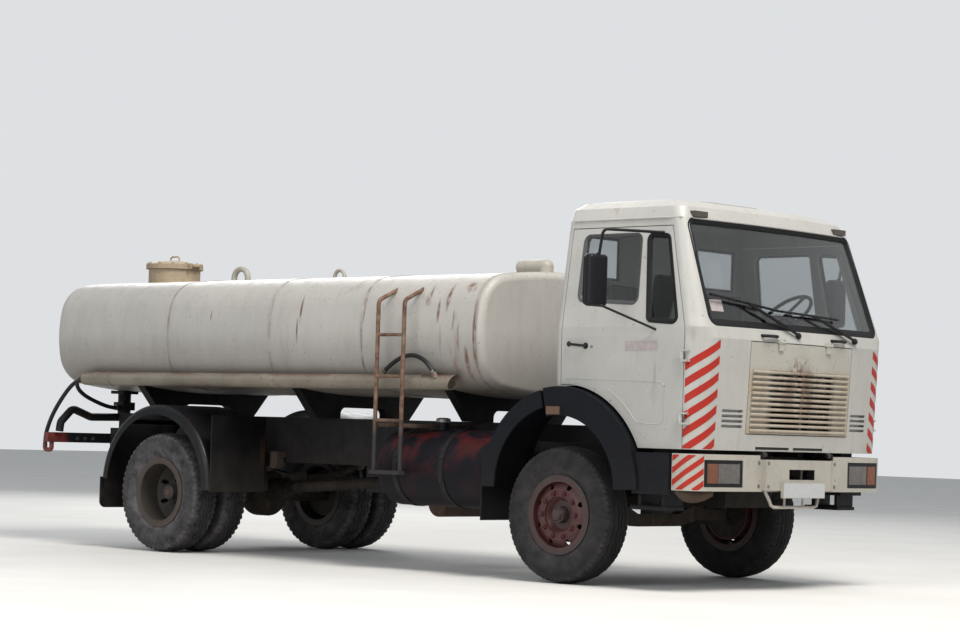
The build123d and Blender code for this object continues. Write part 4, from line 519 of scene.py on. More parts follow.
# Mesh building
class Shape:
    """Vertices and faces gathered into one piece."""

    def __init__(self):
        self.v = []
        self.f = []

    def grid(self, rows, close_rows=False, close_cols=False):
        """Faces between rows of points."""
        start = len(self.v)
        width = len(rows[0])
        for row in rows:
            self.v.extend(tuple(p) for p in row)
        count = len(rows)
        for i in range(count if close_rows else count - 1):
            for j in range(width if close_cols else width - 1):
                a = start + i * width + j
                b = start + i * width + (j + 1) % width
                c = start + ((i + 1) % count) * width + (j + 1) % width
                d = start + ((i + 1) % count) * width + j
                self.f.append((a, b, c, d))
        return start

    def cap(self, indices, flip=False):
        self.f.append(tuple(reversed(indices)) if flip else tuple(indices))

    def box(self, low, high):
        start = len(self.v)
        corners = [Vector((x, y, z)) for z in (low[2], high[2]) for y in (low[1], high[1]) for x in (low[0], high[0])]
        self.v.extend(tuple(c) for c in corners)
        for face in ((0, 2, 3, 1), (4, 5, 7, 6), (0, 1, 5, 4), (2, 6, 7, 3), (0, 4, 6, 2), (1, 3, 7, 5)):
            self.f.append(tuple(start + i for i in face))

    def tube(self, points, radius, sides=10, closed=False, squash=1.0):
        """Round tube along points, carried along without twist."""
        pts = [Vector(p) for p in points]
        count = len(pts)
        ways = []
        for i in range(count):
            before = pts[i - 1] if (i or closed) else pts[i]
            after = pts[(i + 1) % count] if (i < count - 1 or closed) else pts[i]
            ways.append((after - before).normalized())
        side = ways[0].orthogonal().normalized()
        rows = []
        for p, way in zip(pts, ways):
            side = (side - way * side.dot(way)).normalized()
            other = way.cross(side)
            rows.append([p + radius * (c * side + squash * d * other) for c, d in circle(sides)])
        start = self.grid(rows, close_rows=closed, close_cols=True)
        if not closed:
            self.cap([start + k for k in range(sides)])
            self.cap([start + (count - 1) * sides + k for k in range(sides)], flip=True)

    def lathe(self, profile, centre, axis, sides=32, ends=True):
        """Profile of (radius, along) turned about an axis through centre."""
        way = Vector(axis).normalized()
        u = way.orthogonal().normalized()
        w = way.cross(u)
        base = Vector(centre)
        rows = []
        for radius, along in profile:
            rows.append([base + way * along + radius * (c * u + d * w) for c, d in circle(sides)])
        start = self.grid(rows, close_cols=True)
        if ends:
            self.cap([start + k for k in range(sides)])
            self.cap([start + (len(rows) - 1) * sides + k for k in range(sides)], flip=True)

    def hexagon(self, centre, axis, across, height):
        self.lathe([(across * 0.5, 0.0), (across * 0.577, 0.001), (across * 0.577, height - 0.002),
                    (across * 0.5, height)], centre, axis, 6)

    def piece(self, name, mat, body, smooth=True, bevel=0.0, angle=35.0):
        mesh = bpy.data.meshes.new(name)
        mesh.from_pydata(self.v, [], self.f)
        mesh.validate()
        mesh.update()
        obj = add_object(name, mesh)
        mesh.materials.append(M[mat])
        for polygon in mesh.polygons:
            polygon.use_smooth = smooth
        if bevel:
            mod = obj.modifiers.new("bevel", "BEVEL")
            mod.width = bevel
            mod.segments = 2
            mod.limit_method = "ANGLE"
        if smooth:
            mesh.set_sharp_from_angle(angle=math.radians(angle))
        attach(obj, body)
        return obj


def surface(name):
    """Ray caster on the outside of a CAD node."""
    mesh = NODES[name].data
    tree = BVHTree.FromPolygons([v.co.copy() for v in mesh.vertices], [tuple(p.vertices) for p in mesh.polygons])

    def hit(origin, way):
        place, normal, _, _ = tree.ray_cast(Vector(origin), Vector(way).normalized())
        return place, normal
    return hit


def from_ahead(hit, y, z):
    """Place where a ray that comes from ahead of the truck meets a surface."""
    return hit((6.0, y, z), (-1, 0, 0))[0]


def weld(obj):
    """Join the seams between a piece's sheets into one closed mesh."""
    bm = bmesh.new()
    bm.from_mesh(obj.data)
    bmesh.ops.remove_doubles(bm, verts=bm.verts, dist=0.0004)
    bmesh.ops.recalc_face_normals(bm, faces=bm.faces)
    bm.to_mesh(obj.data)
    bm.free()


# Hoses that hang free; each point is its place ahead of the front axle, to the left and up
REAR_HOSE_OUTER = (
    (-5.775, -1.057, 1.472), (-5.840, -1.057, 1.472), (-5.920, -1.060, 1.448), (-6.000, -1.065, 1.388),
    (-6.080, -1.070, 1.305), (-6.158, -1.075, 1.212), (-6.222, -1.079, 1.115), (-6.265, -1.082, 1.020),
    (-6.285, -1.083, 0.950), (-6.285, -1.083, 0.890))
REAR_HOSE_INNER = (
    (-5.775, -1.013, 1.500), (-5.850, -1.013, 1.500), (-5.940, -1.000, 1.475), (-6.020, -0.955, 1.430),
    (-6.075, -0.875, 1.378), (-6.098, -0.780, 1.330), (-6.105, -0.670, 1.290), (-6.105, -0.560, 1.255),
    (-6.105, -0.460, 1.236), (-6.105, -0.400, 1.236))
FRONT_HOSE_LOOP = (
    (-1.399, -1.078, 1.562), (-1.430, -1.084, 1.608), (-1.474, -1.088, 1.650), (-1.530, -1.090, 1.682),
    (-1.600, -1.092, 1.701), (-1.675, -1.092, 1.701), (-1.745, -1.091, 1.684), (-1.812, -1.089, 1.655),
    (-1.880, -1.086, 1.617), (-1.942, -1.082, 1.575))


def cord(name, node, table, diameter):
    """Hose along a table of points, as a curve that stands in for its CAD node."""
    points = [(AX1 + x, y, z) for x, y, z in table]
    curve = bpy.data.curves.new(name, "CURVE")
    curve.dimensions = "3D"
    spline = curve.splines.new("NURBS")
    spline.points.add(len(points) - 1)
    for point, place in zip(spline.points, points):
        point.co = (*place, 1.0)
    spline.order_u = 3
    spline.use_endpoint_u = True
    spline.resolution_u = 10
    curve.bevel_depth = diameter / 2
    curve.bevel_resolution = 5
    curve.use_fill_caps = True
    curve.materials.append(M["hose"])
    obj = add_object(name, curve)
    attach(obj, "chassis")
    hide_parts(node)
    return points


def clamps(name, ends, radius):
    """Worm-drive clamps round a hose's ends, each at a share of the run between two points."""
    s = Shape()
    for a, b, reach in ends:
        way = (Vector(b) - Vector(a)).normalized()
        place = Vector(a) + way * reach
        band = ((0.0005, -0.006), (0.002, -0.006), (0.002, 0.006), (0.0005, 0.006))
        s.lathe([(radius + lift, along) for lift, along in band], place, way, 28, ends=False)
        up = Vector((0, 0, 1)) if abs(way.z) < 0.8 else Vector((1, 0, 0))
        out = (up - way * up.dot(way)).normalized()
        across = way.cross(out)
        spot = place + out * (radius + 0.005) - across * 0.012
        s.lathe([(0.005, 0.0), (0.005, 0.022), (0.004, 0.024)], spot, across, 10)
    s.piece(name, "steel", "chassis")


outer = cord("hose_rear_outer", "rear_hose_outer", REAR_HOSE_OUTER, 0.038)
inner = cord("hose_rear_inner", "rear_hose_inner", REAR_HOSE_INNER, 0.038)
loop = cord("hose_front_loop", "front_hose_loop", FRONT_HOSE_LOOP, 0.036)
clamps("hose_clamps_rear", [(outer[-1], outer[-2], 0.018), (inner[-1], inner[-2], 0.018)], 0.019)
clamps("hose_clamps_front", [(loop[0], loop[1], 0.014), (loop[-1], loop[-2], 0.014)], 0.018)


# Seats: crowned cushions with piping and sewn channels on plain bases
SEAT_Y = 0.56
SEAT_LEAN = math.radians(7.6)
SEAT_SEAMS = (-0.13, -0.045, 0.045, 0.13)


def cushion(name, centre, size, axes, crown):
    s = Shape()
    half = [v / 2 for v in size]
    base = Vector(centre)
    ax_u, ax_v, ax_w = (Vector(a) for a in axes)

    def at(u, v, w):
        x = half[0] * u * (1 - 0.04 * (1 - v * v)) * (1 + 0.025 * (1 - w * w))
        y = half[1] * v * (1 - 0.04 * (1 - u * u)) * (1 + 0.025 * (1 - w * w))
        edge = max(abs(u), abs(v)) ** 10
        z = half[2] * w * (1 - 0.22 * edge)
        if w > 0:
            z += w * crown * (1 - u * u) * (1 - v * v)
            for place in SEAT_SEAMS:
                z -= w * 0.011 * math.exp(-((y - place) / 0.008) ** 2) * (1 - edge)
        return base + ax_u * x + ax_v * y + ax_w * z

    count = 40
    ticks = [-1 + 2 * k / count for k in range(count + 1)]
    s.grid([[at(u, v, 1) for v in ticks] for u in ticks])
    s.grid([[at(u, v, -1) for v in ticks] for u in ticks])
    ring = [(u, -1.0) for u in ticks[:-1]] + [(1.0, v) for v in ticks[:-1]]
    ring += [(-u, 1.0) for u in ticks[:-1]] + [(-1.0, -v) for v in ticks[:-1]]
    s.grid([[at(u, v, 1 - k / 4) for u, v in ring] for k in range(9)], close_cols=True)
    obj = s.piece(name, "cloth", "cab", angle=60)
    weld(obj)
    for polygon in obj.data.polygons:
        polygon.use_smooth = True
    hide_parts("seats")
    piping = Shape()
    piping.tube([at(u, v, 0.96) for u, v in ring], 0.0045, 8, closed=True)
    trim = piping.piece(name + "_piping", "black", "cab")
    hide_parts("seats")


for side, word in SIDES:
    y = side * SEAT_Y
    cushion(f"seat_cushion_{word}", (AX1 + 0.43, y, 1.768), (0.48, 0.47, 0.125), ((1, 0, 0), (0, 1, 0), (0, 0, 1)),
            0.018)
    lean, rise = math.sin(SEAT_LEAN), math.cos(SEAT_LEAN)
    cushion(f"seat_back_{word}", (AX1 + 0.166, y, 2.050), (0.385, 0.46, 0.095),
            ((-lean, 0, rise), (0, 1, 0), (rise, 0, lean)), 0.014)
    s = Shape()
    for dy in (-0.21, 0.21):
        s.v.extend([(AX1 + x, y + dy, z) for x, z in ((0.23, 1.51), (0.62, 1.29), (0.62, 1.705), (0.23, 1.705))])
    s.f += [(0, 1, 2, 3), (7, 6, 5, 4), (0, 4, 5, 1), (1, 5, 6, 2), (2, 6, 7, 3), (3, 7, 4, 0)]
    for dy in (-0.16, 0.16):
        s.tube([(AX1 + 0.24, y + dy, 1.715), (AX1 + 0.66, y + dy, 1.715)], 0.010, 8)
    base_obj = s.piece(f"seat_base_{word}", "inside", "cab", smooth=False, bevel=0.004)
    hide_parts("seats")


# Tyres with their tread
FRONT_TYRE_Y = 1.039
FRONT_DISC_Y = FRONT_TYRE_Y + 0.106
FRONT_NOSE_Y = FRONT_TYRE_Y + 0.126
REAR_TYRES_Y = (1.107, 0.767)
REAR_DISC_Y = 0.937 + 0.014
REAR_NOSE_Y = 1.127
# Half width and radius up one sidewall, and the edges of the tread's ribs
SIDEWALL = ((0.100, 0.262), (0.100, 0.300), (0.110, 0.312), (0.127, 0.345), (0.137, 0.380), (0.1385, 0.400),
            (0.137, 0.420), (0.1375, 0.426), (0.134, 0.440), (0.128, 0.462))
RIB_EDGES = (-0.098, -0.066, -0.058, -0.022, -0.014, 0.014, 0.022, 0.058, 0.066, 0.098)
GROOVE = 0.011


def tyre(shape, x, y, side, blocks, rear):
    """Tyre about an axle end: zigzag ribs between grooves, and shoulder blocks."""
    per = 5
    count = blocks * per
    zig = 0.010 if rear else 0.006

    def crown(v):
        return WHEEL_Z - 0.016 * (v / 0.112) ** 2

    rows = []
    for k in range(count):
        angle = 2 * math.pi * k / count
        phase = k % per
        wave = zig * (1 if (k // per) % 2 else -1) * (1 if phase in (1, 2, 3) else 0.3)
        notch = phase >= (3 if rear else 4)
        cut = 0.013 if notch else 0.0
        flank = [*SIDEWALL, (0.121, 0.480 - cut * 0.6), (0.113, 0.494 - cut), (0.100, crown(0.1) - cut)]
        row = [(-v, r) for v, r in flank]
        for index, edge in enumerate(RIB_EDGES):
            top = crown(edge)
            low = top - GROOVE
            moved = edge + wave
            if index in (0, 9):
                row.append((moved, top - (cut if rear else 0.0)))
            elif index % 2 == 1:
                row += [(moved, top), (moved + 0.0005, low)]
            else:
                row += [(moved - 0.0005, low), (moved, top)]
        row += reversed(flank)
        ca = math.cos(angle)
        sa = math.sin(angle)
        rows.append([(x + r * ca, y + side * v, WHEEL_Z + r * sa) for v, r in row])
    shape.grid(rows, close_rows=True, close_cols=True)


for side, word in SIDES:
    s = Shape()
    tyre(s, AX1, side * FRONT_TYRE_Y, side, 66, False)
    obj = s.piece(f"tyre_front_{word}", "front_tyre", f"front_wheel_{word}", angle=40)
    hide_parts(f"front_tyre_{word}")
    s = Shape()
    for y in REAR_TYRES_Y:
        tyre(s, AX2, side * y, side, 56, True)
    obj = s.piece(f"tyres_rear_{word}", "rear_tyre", f"rear_wheels_{word}", angle=40)
    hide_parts(f"rear_tyres_{word}")


# Wheel nuts and hub caps
def nuts(shape, x, y, radius, count, across, height, shift=0.0, stud=None):
    """Nuts in a ring about a wheel's axis, each round the end of a stud (its radius and length)."""
    out = (0, math.copysign(1, y), 0)
    for c, d in circle(count, shift):
        spot = (x + radius * c, y, WHEEL_Z + radius * d)
        shape.hexagon(spot, out, across, height)
        if stud:
            r, reach = stud
            shape.lathe([(r, 0.0), (r, reach), (r - 0.002, reach + 0.002)], spot, out, 10)


for side, word in SIDES:
    s = Shape()
    nuts(s, AX1, side * FRONT_DISC_Y, 0.165, 10, 0.034, 0.024, stud=(0.009, 0.036))
    s.piece(f"nuts_front_{word}", "front_rim", f"front_wheel_{word}", smooth=False)
    s = Shape()
    s.lathe([(0.040, -0.002), (0.039, 0.003), (0.030, 0.004), (0.028, 0.010), (0.0, 0.012)],
            (AX1, side * FRONT_NOSE_Y, WHEEL_Z), (0, side, 0), 32, ends=False)
    nuts(s, AX1, side * (FRONT_NOSE_Y - 0.013), 0.050, 6, 0.012, 0.007)
    s.piece(f"hubcap_front_{word}", "front_rim", f"front_wheel_{word}")
    s = Shape()
    nuts(s, AX2, side * REAR_DISC_Y, 0.1175, 10, 0.032, 0.028, shift=0.5, stud=(0.010, 0.044))
    nuts(s, AX2, side * REAR_NOSE_Y, 0.034, 8, 0.012, 0.008)
    s.piece(f"nuts_rear_{word}", "rear_rim", f"rear_wheels_{word}", smooth=False)


# Warning stripes that follow the cab's and the bumper's corners
def corner_point(hit, centre, angle, z, lift):
    reach = 0.6
    way = Vector((math.cos(angle), math.sin(angle), 0))
    place, normal = hit((centre[0] + reach * way.x, centre[1] + reach * way.y, z), -way)
    if place is None:
        return None
    return place + normal * lift


def stripes(name, hit, body, centre, side, first, last, steps, bands, low, high):
    """Bands (z at the rear edge, z at the front edge, thickness) bent round a corner, cut off at low and high."""
    s = Shape()
    for z_rear, z_front, thick in bands:
        rows = []
        for k in range(steps + 1):
            share = k / steps
            angle = side * math.radians(first + (last - first) * share)
            top = z_rear + (z_front - z_rear) * share
            z1 = min(max(top, low), high)
            z0 = min(max(top - thick, low), high)
            if z1 - z0 < 0.002:
                continue
            a = corner_point(hit, centre, angle, z0, 0.0012)
            b = corner_point(hit, centre, angle, (z0 + z1) / 2, 0.0012)
            c = corner_point(hit, centre, angle, z1, 0.0012)
            if a is None or b is None or c is None:
                continue
            rows.append([a, b, c] if side > 0 else [c, b, a])
        if len(rows) > 1:
            s.grid(rows)
    s.piece(name, "stripe", body)


cab_hit = surface("cab_shell")
CAB_BANDS = [(1.638 - 0.118 * i, 1.826 - 0.118 * i, 0.060) for i in range(7)]
for side, word in SIDES:
    stripes(f"cab_stripes_{word}", cab_hit, "cab", (AX1 + 1.10, side * 0.95), side, 76.0, 3.0, 26, CAB_BANDS,
            1.036, 1.822)
bumper_hit = surface("bumper")
BUMPER_BANDS = [(0.900 - 0.088 * i, 1.085 - 0.088 * i, 0.044) for i in range(-1, 5)]
stripes("bumper_stripes_right", bumper_hit, "chassis", (AX1 + 1.17, -1.04), -1, 114.0, 16.0, 24, BUMPER_BANDS,
        0.742, 0.992)


# Window seals: strips from just outside each opening to just inside its glass
def outline(corners, radius, grow, arc=6, run=10):
    """Rounded outline of a convex window, moved outward by grow; the same count of points for any grow."""
    pts = [Vector(c) for c in corners]
    count = len(pts)
    area = sum(pts[i].x * pts[(i + 1) % count].y - pts[(i + 1) % count].x * pts[i].y for i in range(count))
    turn = 1 if area > 0 else -1
    lines = []
    for i in range(count):
        way = (pts[(i + 1) % count] - pts[i]).normalized()
        lines.append((pts[i] + Vector((way.y, -way.x)) * (turn * grow), way))
    moved = []
    for i in range(count):
        (p, d), (q, e) = lines[i - 1], lines[i]
        share = ((q - p).x * e.y - (q - p).y * e.x) / (d.x * e.y - d.y * e.x)
        moved.append(p + d * share)
    r = max(radius + grow, 0.006)
    arcs = []
    for i in range(count):
        c = moved[i]
        a = (moved[i - 1] - c).normalized()
        b = (moved[(i + 1) % count] - c).normalized()
        half = math.acos(max(-1.0, min(1.0, a.dot(b)))) / 2
        middle = c + (a + b).normalized() * (r / math.sin(half))
        first = c + a * (r / math.tan(half)) - middle
        last = c + b * (r / math.tan(half)) - middle
        bend = []
        for k in range(arc + 1):
            way = first.lerp(last, k / arc)
            bend.append(middle + way.normalized() * r)
        arcs.append(bend)
    result = []
    for i in range(count):
        result += arcs[i]
        start, end = arcs[i][-1], arcs[(i + 1) % count][0]
        result += [start.lerp(end, k / run) for k in range(1, run)]
    return result


def seal(name, mat, body, frame_hit, glass_hit, shoot, corners, radius, out, inn, rise):
    """Seal round a window: out and inn are how far it laps the frame and the glass, rise its height."""
    steps = ((out, frame_hit, 0.0005), (out - 0.003, frame_hit, rise), (out - 0.45 * (out + inn), None, rise),
             (-inn + 0.003, glass_hit, 0.006), (-inn, glass_hit, 0.0005))
    rings = [(outline(corners, radius, grow), target, lift) for grow, target, lift in steps]
    placed = []
    for points, target, lift in rings:
        if target is None:
            placed.append(None)
            continue
        row = []
        for p in points:
            origin, way = shoot(p)
            place, _ = target(origin, way)
            row.append(None if place is None else place - Vector(way) * lift)
        good = [k for k, p in enumerate(row) if p is not None]
        for k, p in enumerate(row):
            if p is None:
                near = min(good, key=lambda g: min(abs(g - k), len(row) - abs(g - k)))
                row[k] = row[near].copy()
        placed.append(row)
    middle = [a.lerp(b, 0.5) - Vector(shoot(p)[1]) * 0.003 for a, b, p in zip(placed[1], placed[3], rings[2][0])]
    placed[2] = middle
    s = Shape()
    s.grid(placed, close_cols=True)
    s.piece(name, mat, body, angle=50)


SCREEN = ((-1.040, 1.938), (1.040, 1.938), (1.000, 2.700), (-1.000, 2.700))
MAIN_WINDOW = ((0.130, 2.110), (0.700, 2.080), (0.672, 2.595), (0.130, 2.595))
QUARTER_WINDOW = ((0.815, 1.955), (1.095, 1.935), (0.930, 2.580), (0.735, 2.595))
glass_hit = surface("cab_glass")
seal("screen_seal", "seal", "cab", cab_hit, glass_hit, lambda p: ((6.0, p.x, p.y), (-1, 0, 0)), SCREEN,
     0.060, 0.016, 0.034, 0.004)
for side, word in SIDES:
    door_hit = surface(f"door_{word}")
    pane_hit = surface(f"door_glass_{word}")

    def from_side(p, side=side):
        return (AX1 + p.x, side * 3.0, p.y), (0, -side, 0)

    seal(f"window_seal_{word}", "seal_grey", f"door_{word}", door_hit, pane_hit, from_side, MAIN_WINDOW,
         0.050, 0.012, 0.018, 0.003)
    seal(f"quarter_seal_{word}", "seal", f"door_{word}", door_hit, pane_hit, from_side, QUARTER_WINDOW,
         0.040, 0.014, 0.026, 0.004)
    rear = ((side * 0.470, 2.295), (side * 0.970, 2.295), (side * 0.970, 2.625), (side * 0.470, 2.625))
    seal(f"rear_seal_{word}", "seal", "cab", cab_hit, glass_hit, lambda p: ((0.0, p.x, p.y), (1, 0, 0)), rear,
         0.004, 0.012, 0.022, 0.003)

# Rain gutter round the roof
GUTTER_Z = 2.711
path_points = []
for k in range(73):
    angle = math.radians(-165 + 330 * k / 72)
    way = Vector((math.cos(angle), math.sin(angle), 0))
    place, normal = cab_hit((AX1 + 0.5 + 4 * way.x, 4 * way.y, GUTTER_Z), -way)
    path_points.append(place + normal * 0.003)
s = Shape()
s.tube(path_points, 0.0075, 8)
s.piece("roof_gutter", "cab", "cab")


# Lamps on the bumper: ribbed lenses over the dark housings
lamp_hit = surface("headlamps")


def lens(name, mat, y0, y1, ribs):
    """Lens with upright ribs; its edge rows lie on the housing."""
    z0, z1, lift, across = 0.792, 0.932, 0.006, 48
    s = Shape()
    rows = []
    for i in range(15):
        row = []
        for k in range(across + 1):
            share = k / across
            edge = i in (0, 14) or k in (0, across)
            y = y0 + (y1 - y0) * share
            z = z0 + (z1 - z0) * min(max((i - 1) / 12, 0), 1)
            wave = 0.0012 * math.cos(2 * math.pi * ribs * share)
            row.append((from_ahead(lamp_hit, y, z).x + (0.0 if edge else lift + wave), y, z))
        rows.append(row)
    s.grid(rows)
    s.piece(name, mat, "chassis", angle=30)


for side, word in SIDES:
    lens(f"lamp_lens_{word}", "lens_face", side * 0.690, side * 0.932, 14)
    lens(f"turn_lens_{word}", "lens_amber", side * 0.942, side * 1.052, 7)

# Blank plate, white tube guard, step grips, one corner plate and bolts at the front end
PLATE_X = AX1 + 1.409
GUARD_X = AX1 + 1.352
GUARD = ((-0.415, 0.745), (-0.355, 0.668), (-0.335, 0.636), (-0.300, 0.622), (0.200, 0.622), (0.235, 0.634),
         (0.246, 0.665), (0.262, 0.745))
CORNER_WAY = ((1.105, 1.168, 0.722), (1.150, 1.162, 0.678), (1.190, 1.150, 0.655), (1.228, 1.122, 0.648),
              (1.255, 1.085, 0.652), (1.272, 1.020, 0.668), (1.285, 0.940, 0.700))
CORNER_TOP_Z = 0.742
STEP_Y = 1.150
s = Shape()
s.box((PLATE_X, -0.256, 0.694), (PLATE_X + 0.0014, 0.256, 0.801))
s.piece("plate_blank", "plate", "chassis", smooth=False, bevel=0.0003)
s = Shape()
s.tube([(GUARD_X, y, z) for y, z in GUARD], 0.012, 12)
for y in (-0.170, 0.060):
    s.tube([(GUARD_X, y, 0.622), (GUARD_X, y, 0.700)], 0.009, 10)
s.piece("plate_guard", "bumper", "chassis")
for side, word in SIDES:
    s = Shape()
    for k in range(9):
        x0 = AX1 + 0.728 + 0.0335 * k
        s.box((x0, side * STEP_Y - 0.038, 0.612), (x0 + 0.010, side * STEP_Y + 0.038, 0.620))
    for k in range(4):
        y0 = side * (0.975 + 0.052 * k)
        s.box((AX1 + 0.722, y0 - 0.004, 0.609), (AX1 + 1.036, y0 + 0.004, 0.617))
    s.piece(f"step_grip_{word}", "frame", "cab", smooth=False, bevel=0.001)
s = Shape()
s.grid([[(AX1 + x, -y, low + (CORNER_TOP_Z - low) * share) for x, y, low in CORNER_WAY] for share in (0.0, 0.5, 1.0)])
obj = s.piece("corner_plate_right", "tan", "chassis")
mod = obj.modifiers.new("thick", "SOLIDIFY")
mod.thickness = 0.004
s = Shape()
for y in (-0.415, 0.415, -0.475, 0.475):
    for z in (0.775, 0.945):
        s.lathe([(0.014, 0.0), (0.0135, 0.003), (0.009, 0.006), (0.0, 0.0068)], from_ahead(bumper_hit, y, z), (1, 0, 0),
                16, ends=False)
s.piece("bumper_bolts", "steel", "chassis")

# Door handles, locks, blank labels and creases; the creases run round the door's panel, from its top over its
# front edge and back along the wheel arch
ARCH_X, ARCH_Z, ARCH_RADIUS = 0.040, 0.700, 0.862
PANEL = [(0.045 + 0.115 * k, 1.530 - 0.002 * k) for k in range(8)]
PANEL += [(0.955, 1.508), (0.980, 1.495), (0.990, 1.468), (0.990, 1.400), (0.990, 1.320), (0.988, 1.245),
          (0.975, 1.220), (0.950, 1.208), (0.900, 1.205), (0.835, 1.205)]
PANEL += [(ARCH_X + ARCH_RADIUS * math.cos(math.radians(angle)), ARCH_Z + ARCH_RADIUS * math.sin(math.radians(angle)))
          for angle in range(37, 64, 3)]
for side, word in SIDES:
    door_hit = surface(f"door_{word}")

    def on_door(x, z, lift, side=side, door_hit=door_hit):
        place, _ = door_hit((AX1 + x, side * 3.0, z), (0, -side, 0))
        return Vector((AX1 + x, place.y + side * lift, z))

    s = Shape()
    grip = [on_door(0.070 + 0.018 * k, 1.786 - 0.0015 * k, lift)
            for k, lift in enumerate((0.004, 0.018, 0.026, 0.028, 0.029, 0.029, 0.029, 0.028, 0.026, 0.016, 0.004))]
    s.tube(grip, 0.011, 10, squash=0.7)
    for x, z, size in ((0.078, 1.785, 0.020), (0.242, 1.771, 0.024)):
        s.lathe([(size, 0.0), (size, 0.003), (size * 0.86, 0.006), (0.0, 0.0065)], on_door(x, z, 0.0), (0, side, 0), 20,
                ends=False)
    s.piece(f"door_handle_{word}", "black", f"door_{word}")
    s = Shape()
    s.lathe([(0.011, 0.0), (0.011, 0.004), (0.008, 0.006), (0.0, 0.0062)], on_door(0.300, 1.765, 0.0), (0, side, 0), 18,
            ends=False)
    s.piece(f"door_lock_{word}", "steel", f"door_{word}")
    s = Shape()
    rows = [[on_door(0.62 + 0.05 * k, 1.735 + 0.070 * j / 3 + 0.004 * k / 6, 0.0022) for k in range(7)]
            for j in range(4)]
    s.grid(rows if side > 0 else rows[::-1])
    s.piece(f"door_label_{word}", "sticker", f"door_{word}", smooth=False)
    s = Shape()
    s.tube([on_door(x, z, 0.0) for x, z in PANEL], 0.0035, 6)
    s.piece(f"door_creases_{word}", "cab", f"door_{word}")

# Blank label inside the screen's lower corner
s = Shape()
rows = []
for z in (2.030, 2.0725, 2.115):
    rows.append([(from_ahead(glass_hit, y, z).x + 0.0012, y, z) for y in (-0.985 + 0.130 * k / 4 for k in range(5))])
s.grid(rows)
s.piece("screen_label", "sticker", "cab", smooth=False)

# Mirror faces with their rims
MIRROR_X = AX1 + 0.5598
MIRROR_Y = 1.5
MIRROR_Z = 2.23
for side, word in SIDES:
    s = Shape()
    inner, outer = side * 1.415, side * 1.585
    ring = outline(((inner, 2.055), (outer, 2.055), (outer, 2.405), (inner, 2.405)), 0.022, 0.0, 5, 4)
    x = MIRROR_X
    rows = [[(x - 0.0004, p.x, p.y) for p in ring]]
    for share, lift in ((0.6, 0.0012), (0.25, 0.0016), (0.02, 0.0018)):
        rows.append([(x - lift, side * MIRROR_Y + (p.x - side * MIRROR_Y) * share, MIRROR_Z + (p.y - MIRROR_Z) * share)
                     for p in ring])
    s.grid(rows, close_cols=True)
    s.piece(f"mirror_face_{word}", "mirror_face", f"door_{word}")
    s = Shape()
    s.tube([(x - 0.001, p.x, p.y) for p in ring], 0.005, 8, closed=True)
    s.lathe([(0.017, -0.030), (0.017, 0.030), (0.012, 0.034)], (AX1 + 0.62, side * MIRROR_Y, 2.395), (0, 0, 1), 16)
    s.piece(f"mirror_rim_{word}", "black", f"door_{word}")

# Weld beads round the tank, nuts and a handle on the manhole's lid, the drum's cap and strap bolts
TANK_MIDDLE_Z = 1.896
MANHOLE_X = AX1 - 5.830
LID_FLANGE_Z = 2.582
DRUM_Y = -0.800
DRUM_Z = 0.815
DRUM_NECK_X = AX1 - 1.540
STRAP_RADIUS = 0.311
tank_hit = surface("tank_shell")
s = Shape()
for seam in SEAMS:
    ring = []
    for k in range(120):
        a = 2 * math.pi * k / 120
        way = Vector((0, math.cos(a), math.sin(a)))
        place, normal = tank_hit(Vector((seam, 0, TANK_MIDDLE_Z)) + way * 3, -way)
        wobble = 0.0015 * math.sin(17 * a) + 0.001 * math.sin(41 * a)
        ring.append(Vector((seam + wobble, place.y, place.z)) + way * 0.001)
    s.tube(ring, 0.0045, 6, closed=True)
s.piece("tank_welds", "tank", "chassis")
s = Shape()
for c, d in circle(12, 0.5):
    spot = (MANHOLE_X + 0.248 * c, 0.248 * d, LID_FLANGE_Z)
    s.hexagon(spot, (0, 0, 1), 0.024, 0.013)
    s.lathe([(0.006, 0.0), (0.006, 0.020), (0.004, 0.022)], spot, (0, 0, 1), 10)
handle = ((-0.06, 2.620), (-0.06, 2.650), (-0.04, 2.662), (0.04, 2.662), (0.06, 2.650), (0.06, 2.620))
s.tube([(MANHOLE_X + x, 0.0, z) for x, z in handle], 0.008, 8)
s.piece("manhole_bolts", "lid", "manhole_lid", smooth=False)
s = Shape()
s.lathe([(0.0, 1.216), (0.030, 1.215), (0.052, 1.210), (0.058, 1.202), (0.058, 1.180), (0.054, 1.176)],
        (DRUM_NECK_X, DRUM_Y, 0), (0, 0, 1), 32, ends=False)
s.piece("drum_cap", "steel", "chassis")
s = Shape()
for x in (AX1 - 1.770, AX1 - 1.268):
    for z in (0.905, 0.725):
        reach = math.sqrt(STRAP_RADIUS ** 2 - (z - DRUM_Z) ** 2) + 0.001
        s.hexagon((x, DRUM_Y - reach, z), (0, -1, 0), 0.019, 0.010)
s.piece("strap_bolts", "iron", "chassis", smooth=False)

# Painted shade: dark sheets with rims over the two slots under the flap, standing in for the shade inside them
s = Shape()
rims = Shape()
for y0, y1 in ((-0.517, -0.122), (-0.072, 0.311)):
    across = [y0 + (y1 - y0) * k / 12 for k in range(13)]
    rows = [[Vector((from_ahead(cab_hit, y, z).x + 0.0006, y, z)) for y in across] for z in (1.0385, 1.0635)]
    s.grid(rows)
    rims.tube([p - Vector((0.0012, 0, 0)) for p in rows[0] + rows[1][::-1]], 0.0032, 6, closed=True)
s.piece("slot_shade_sheets", "painted_slot_shade", "cab", smooth=False)
rims.piece("slot_rims", "cab", "cab")


# Wiper blades and arms over the thin rods: y and z of the pivot and of the blade's two ends
WIPERS = (((-0.085, 1.888), (-1.000, 2.150), (-0.250, 2.065)), ((0.665, 1.880), (-0.225, 2.065), (0.500, 2.040)))


def screen_point(y, z, out):
    lean = (z - 1.910) * (1.368 - 1.090) / 0.805
    return Vector((AX1 + 1.368 - lean - 0.055 * (y / 1.169) ** 2 + out, y, z))


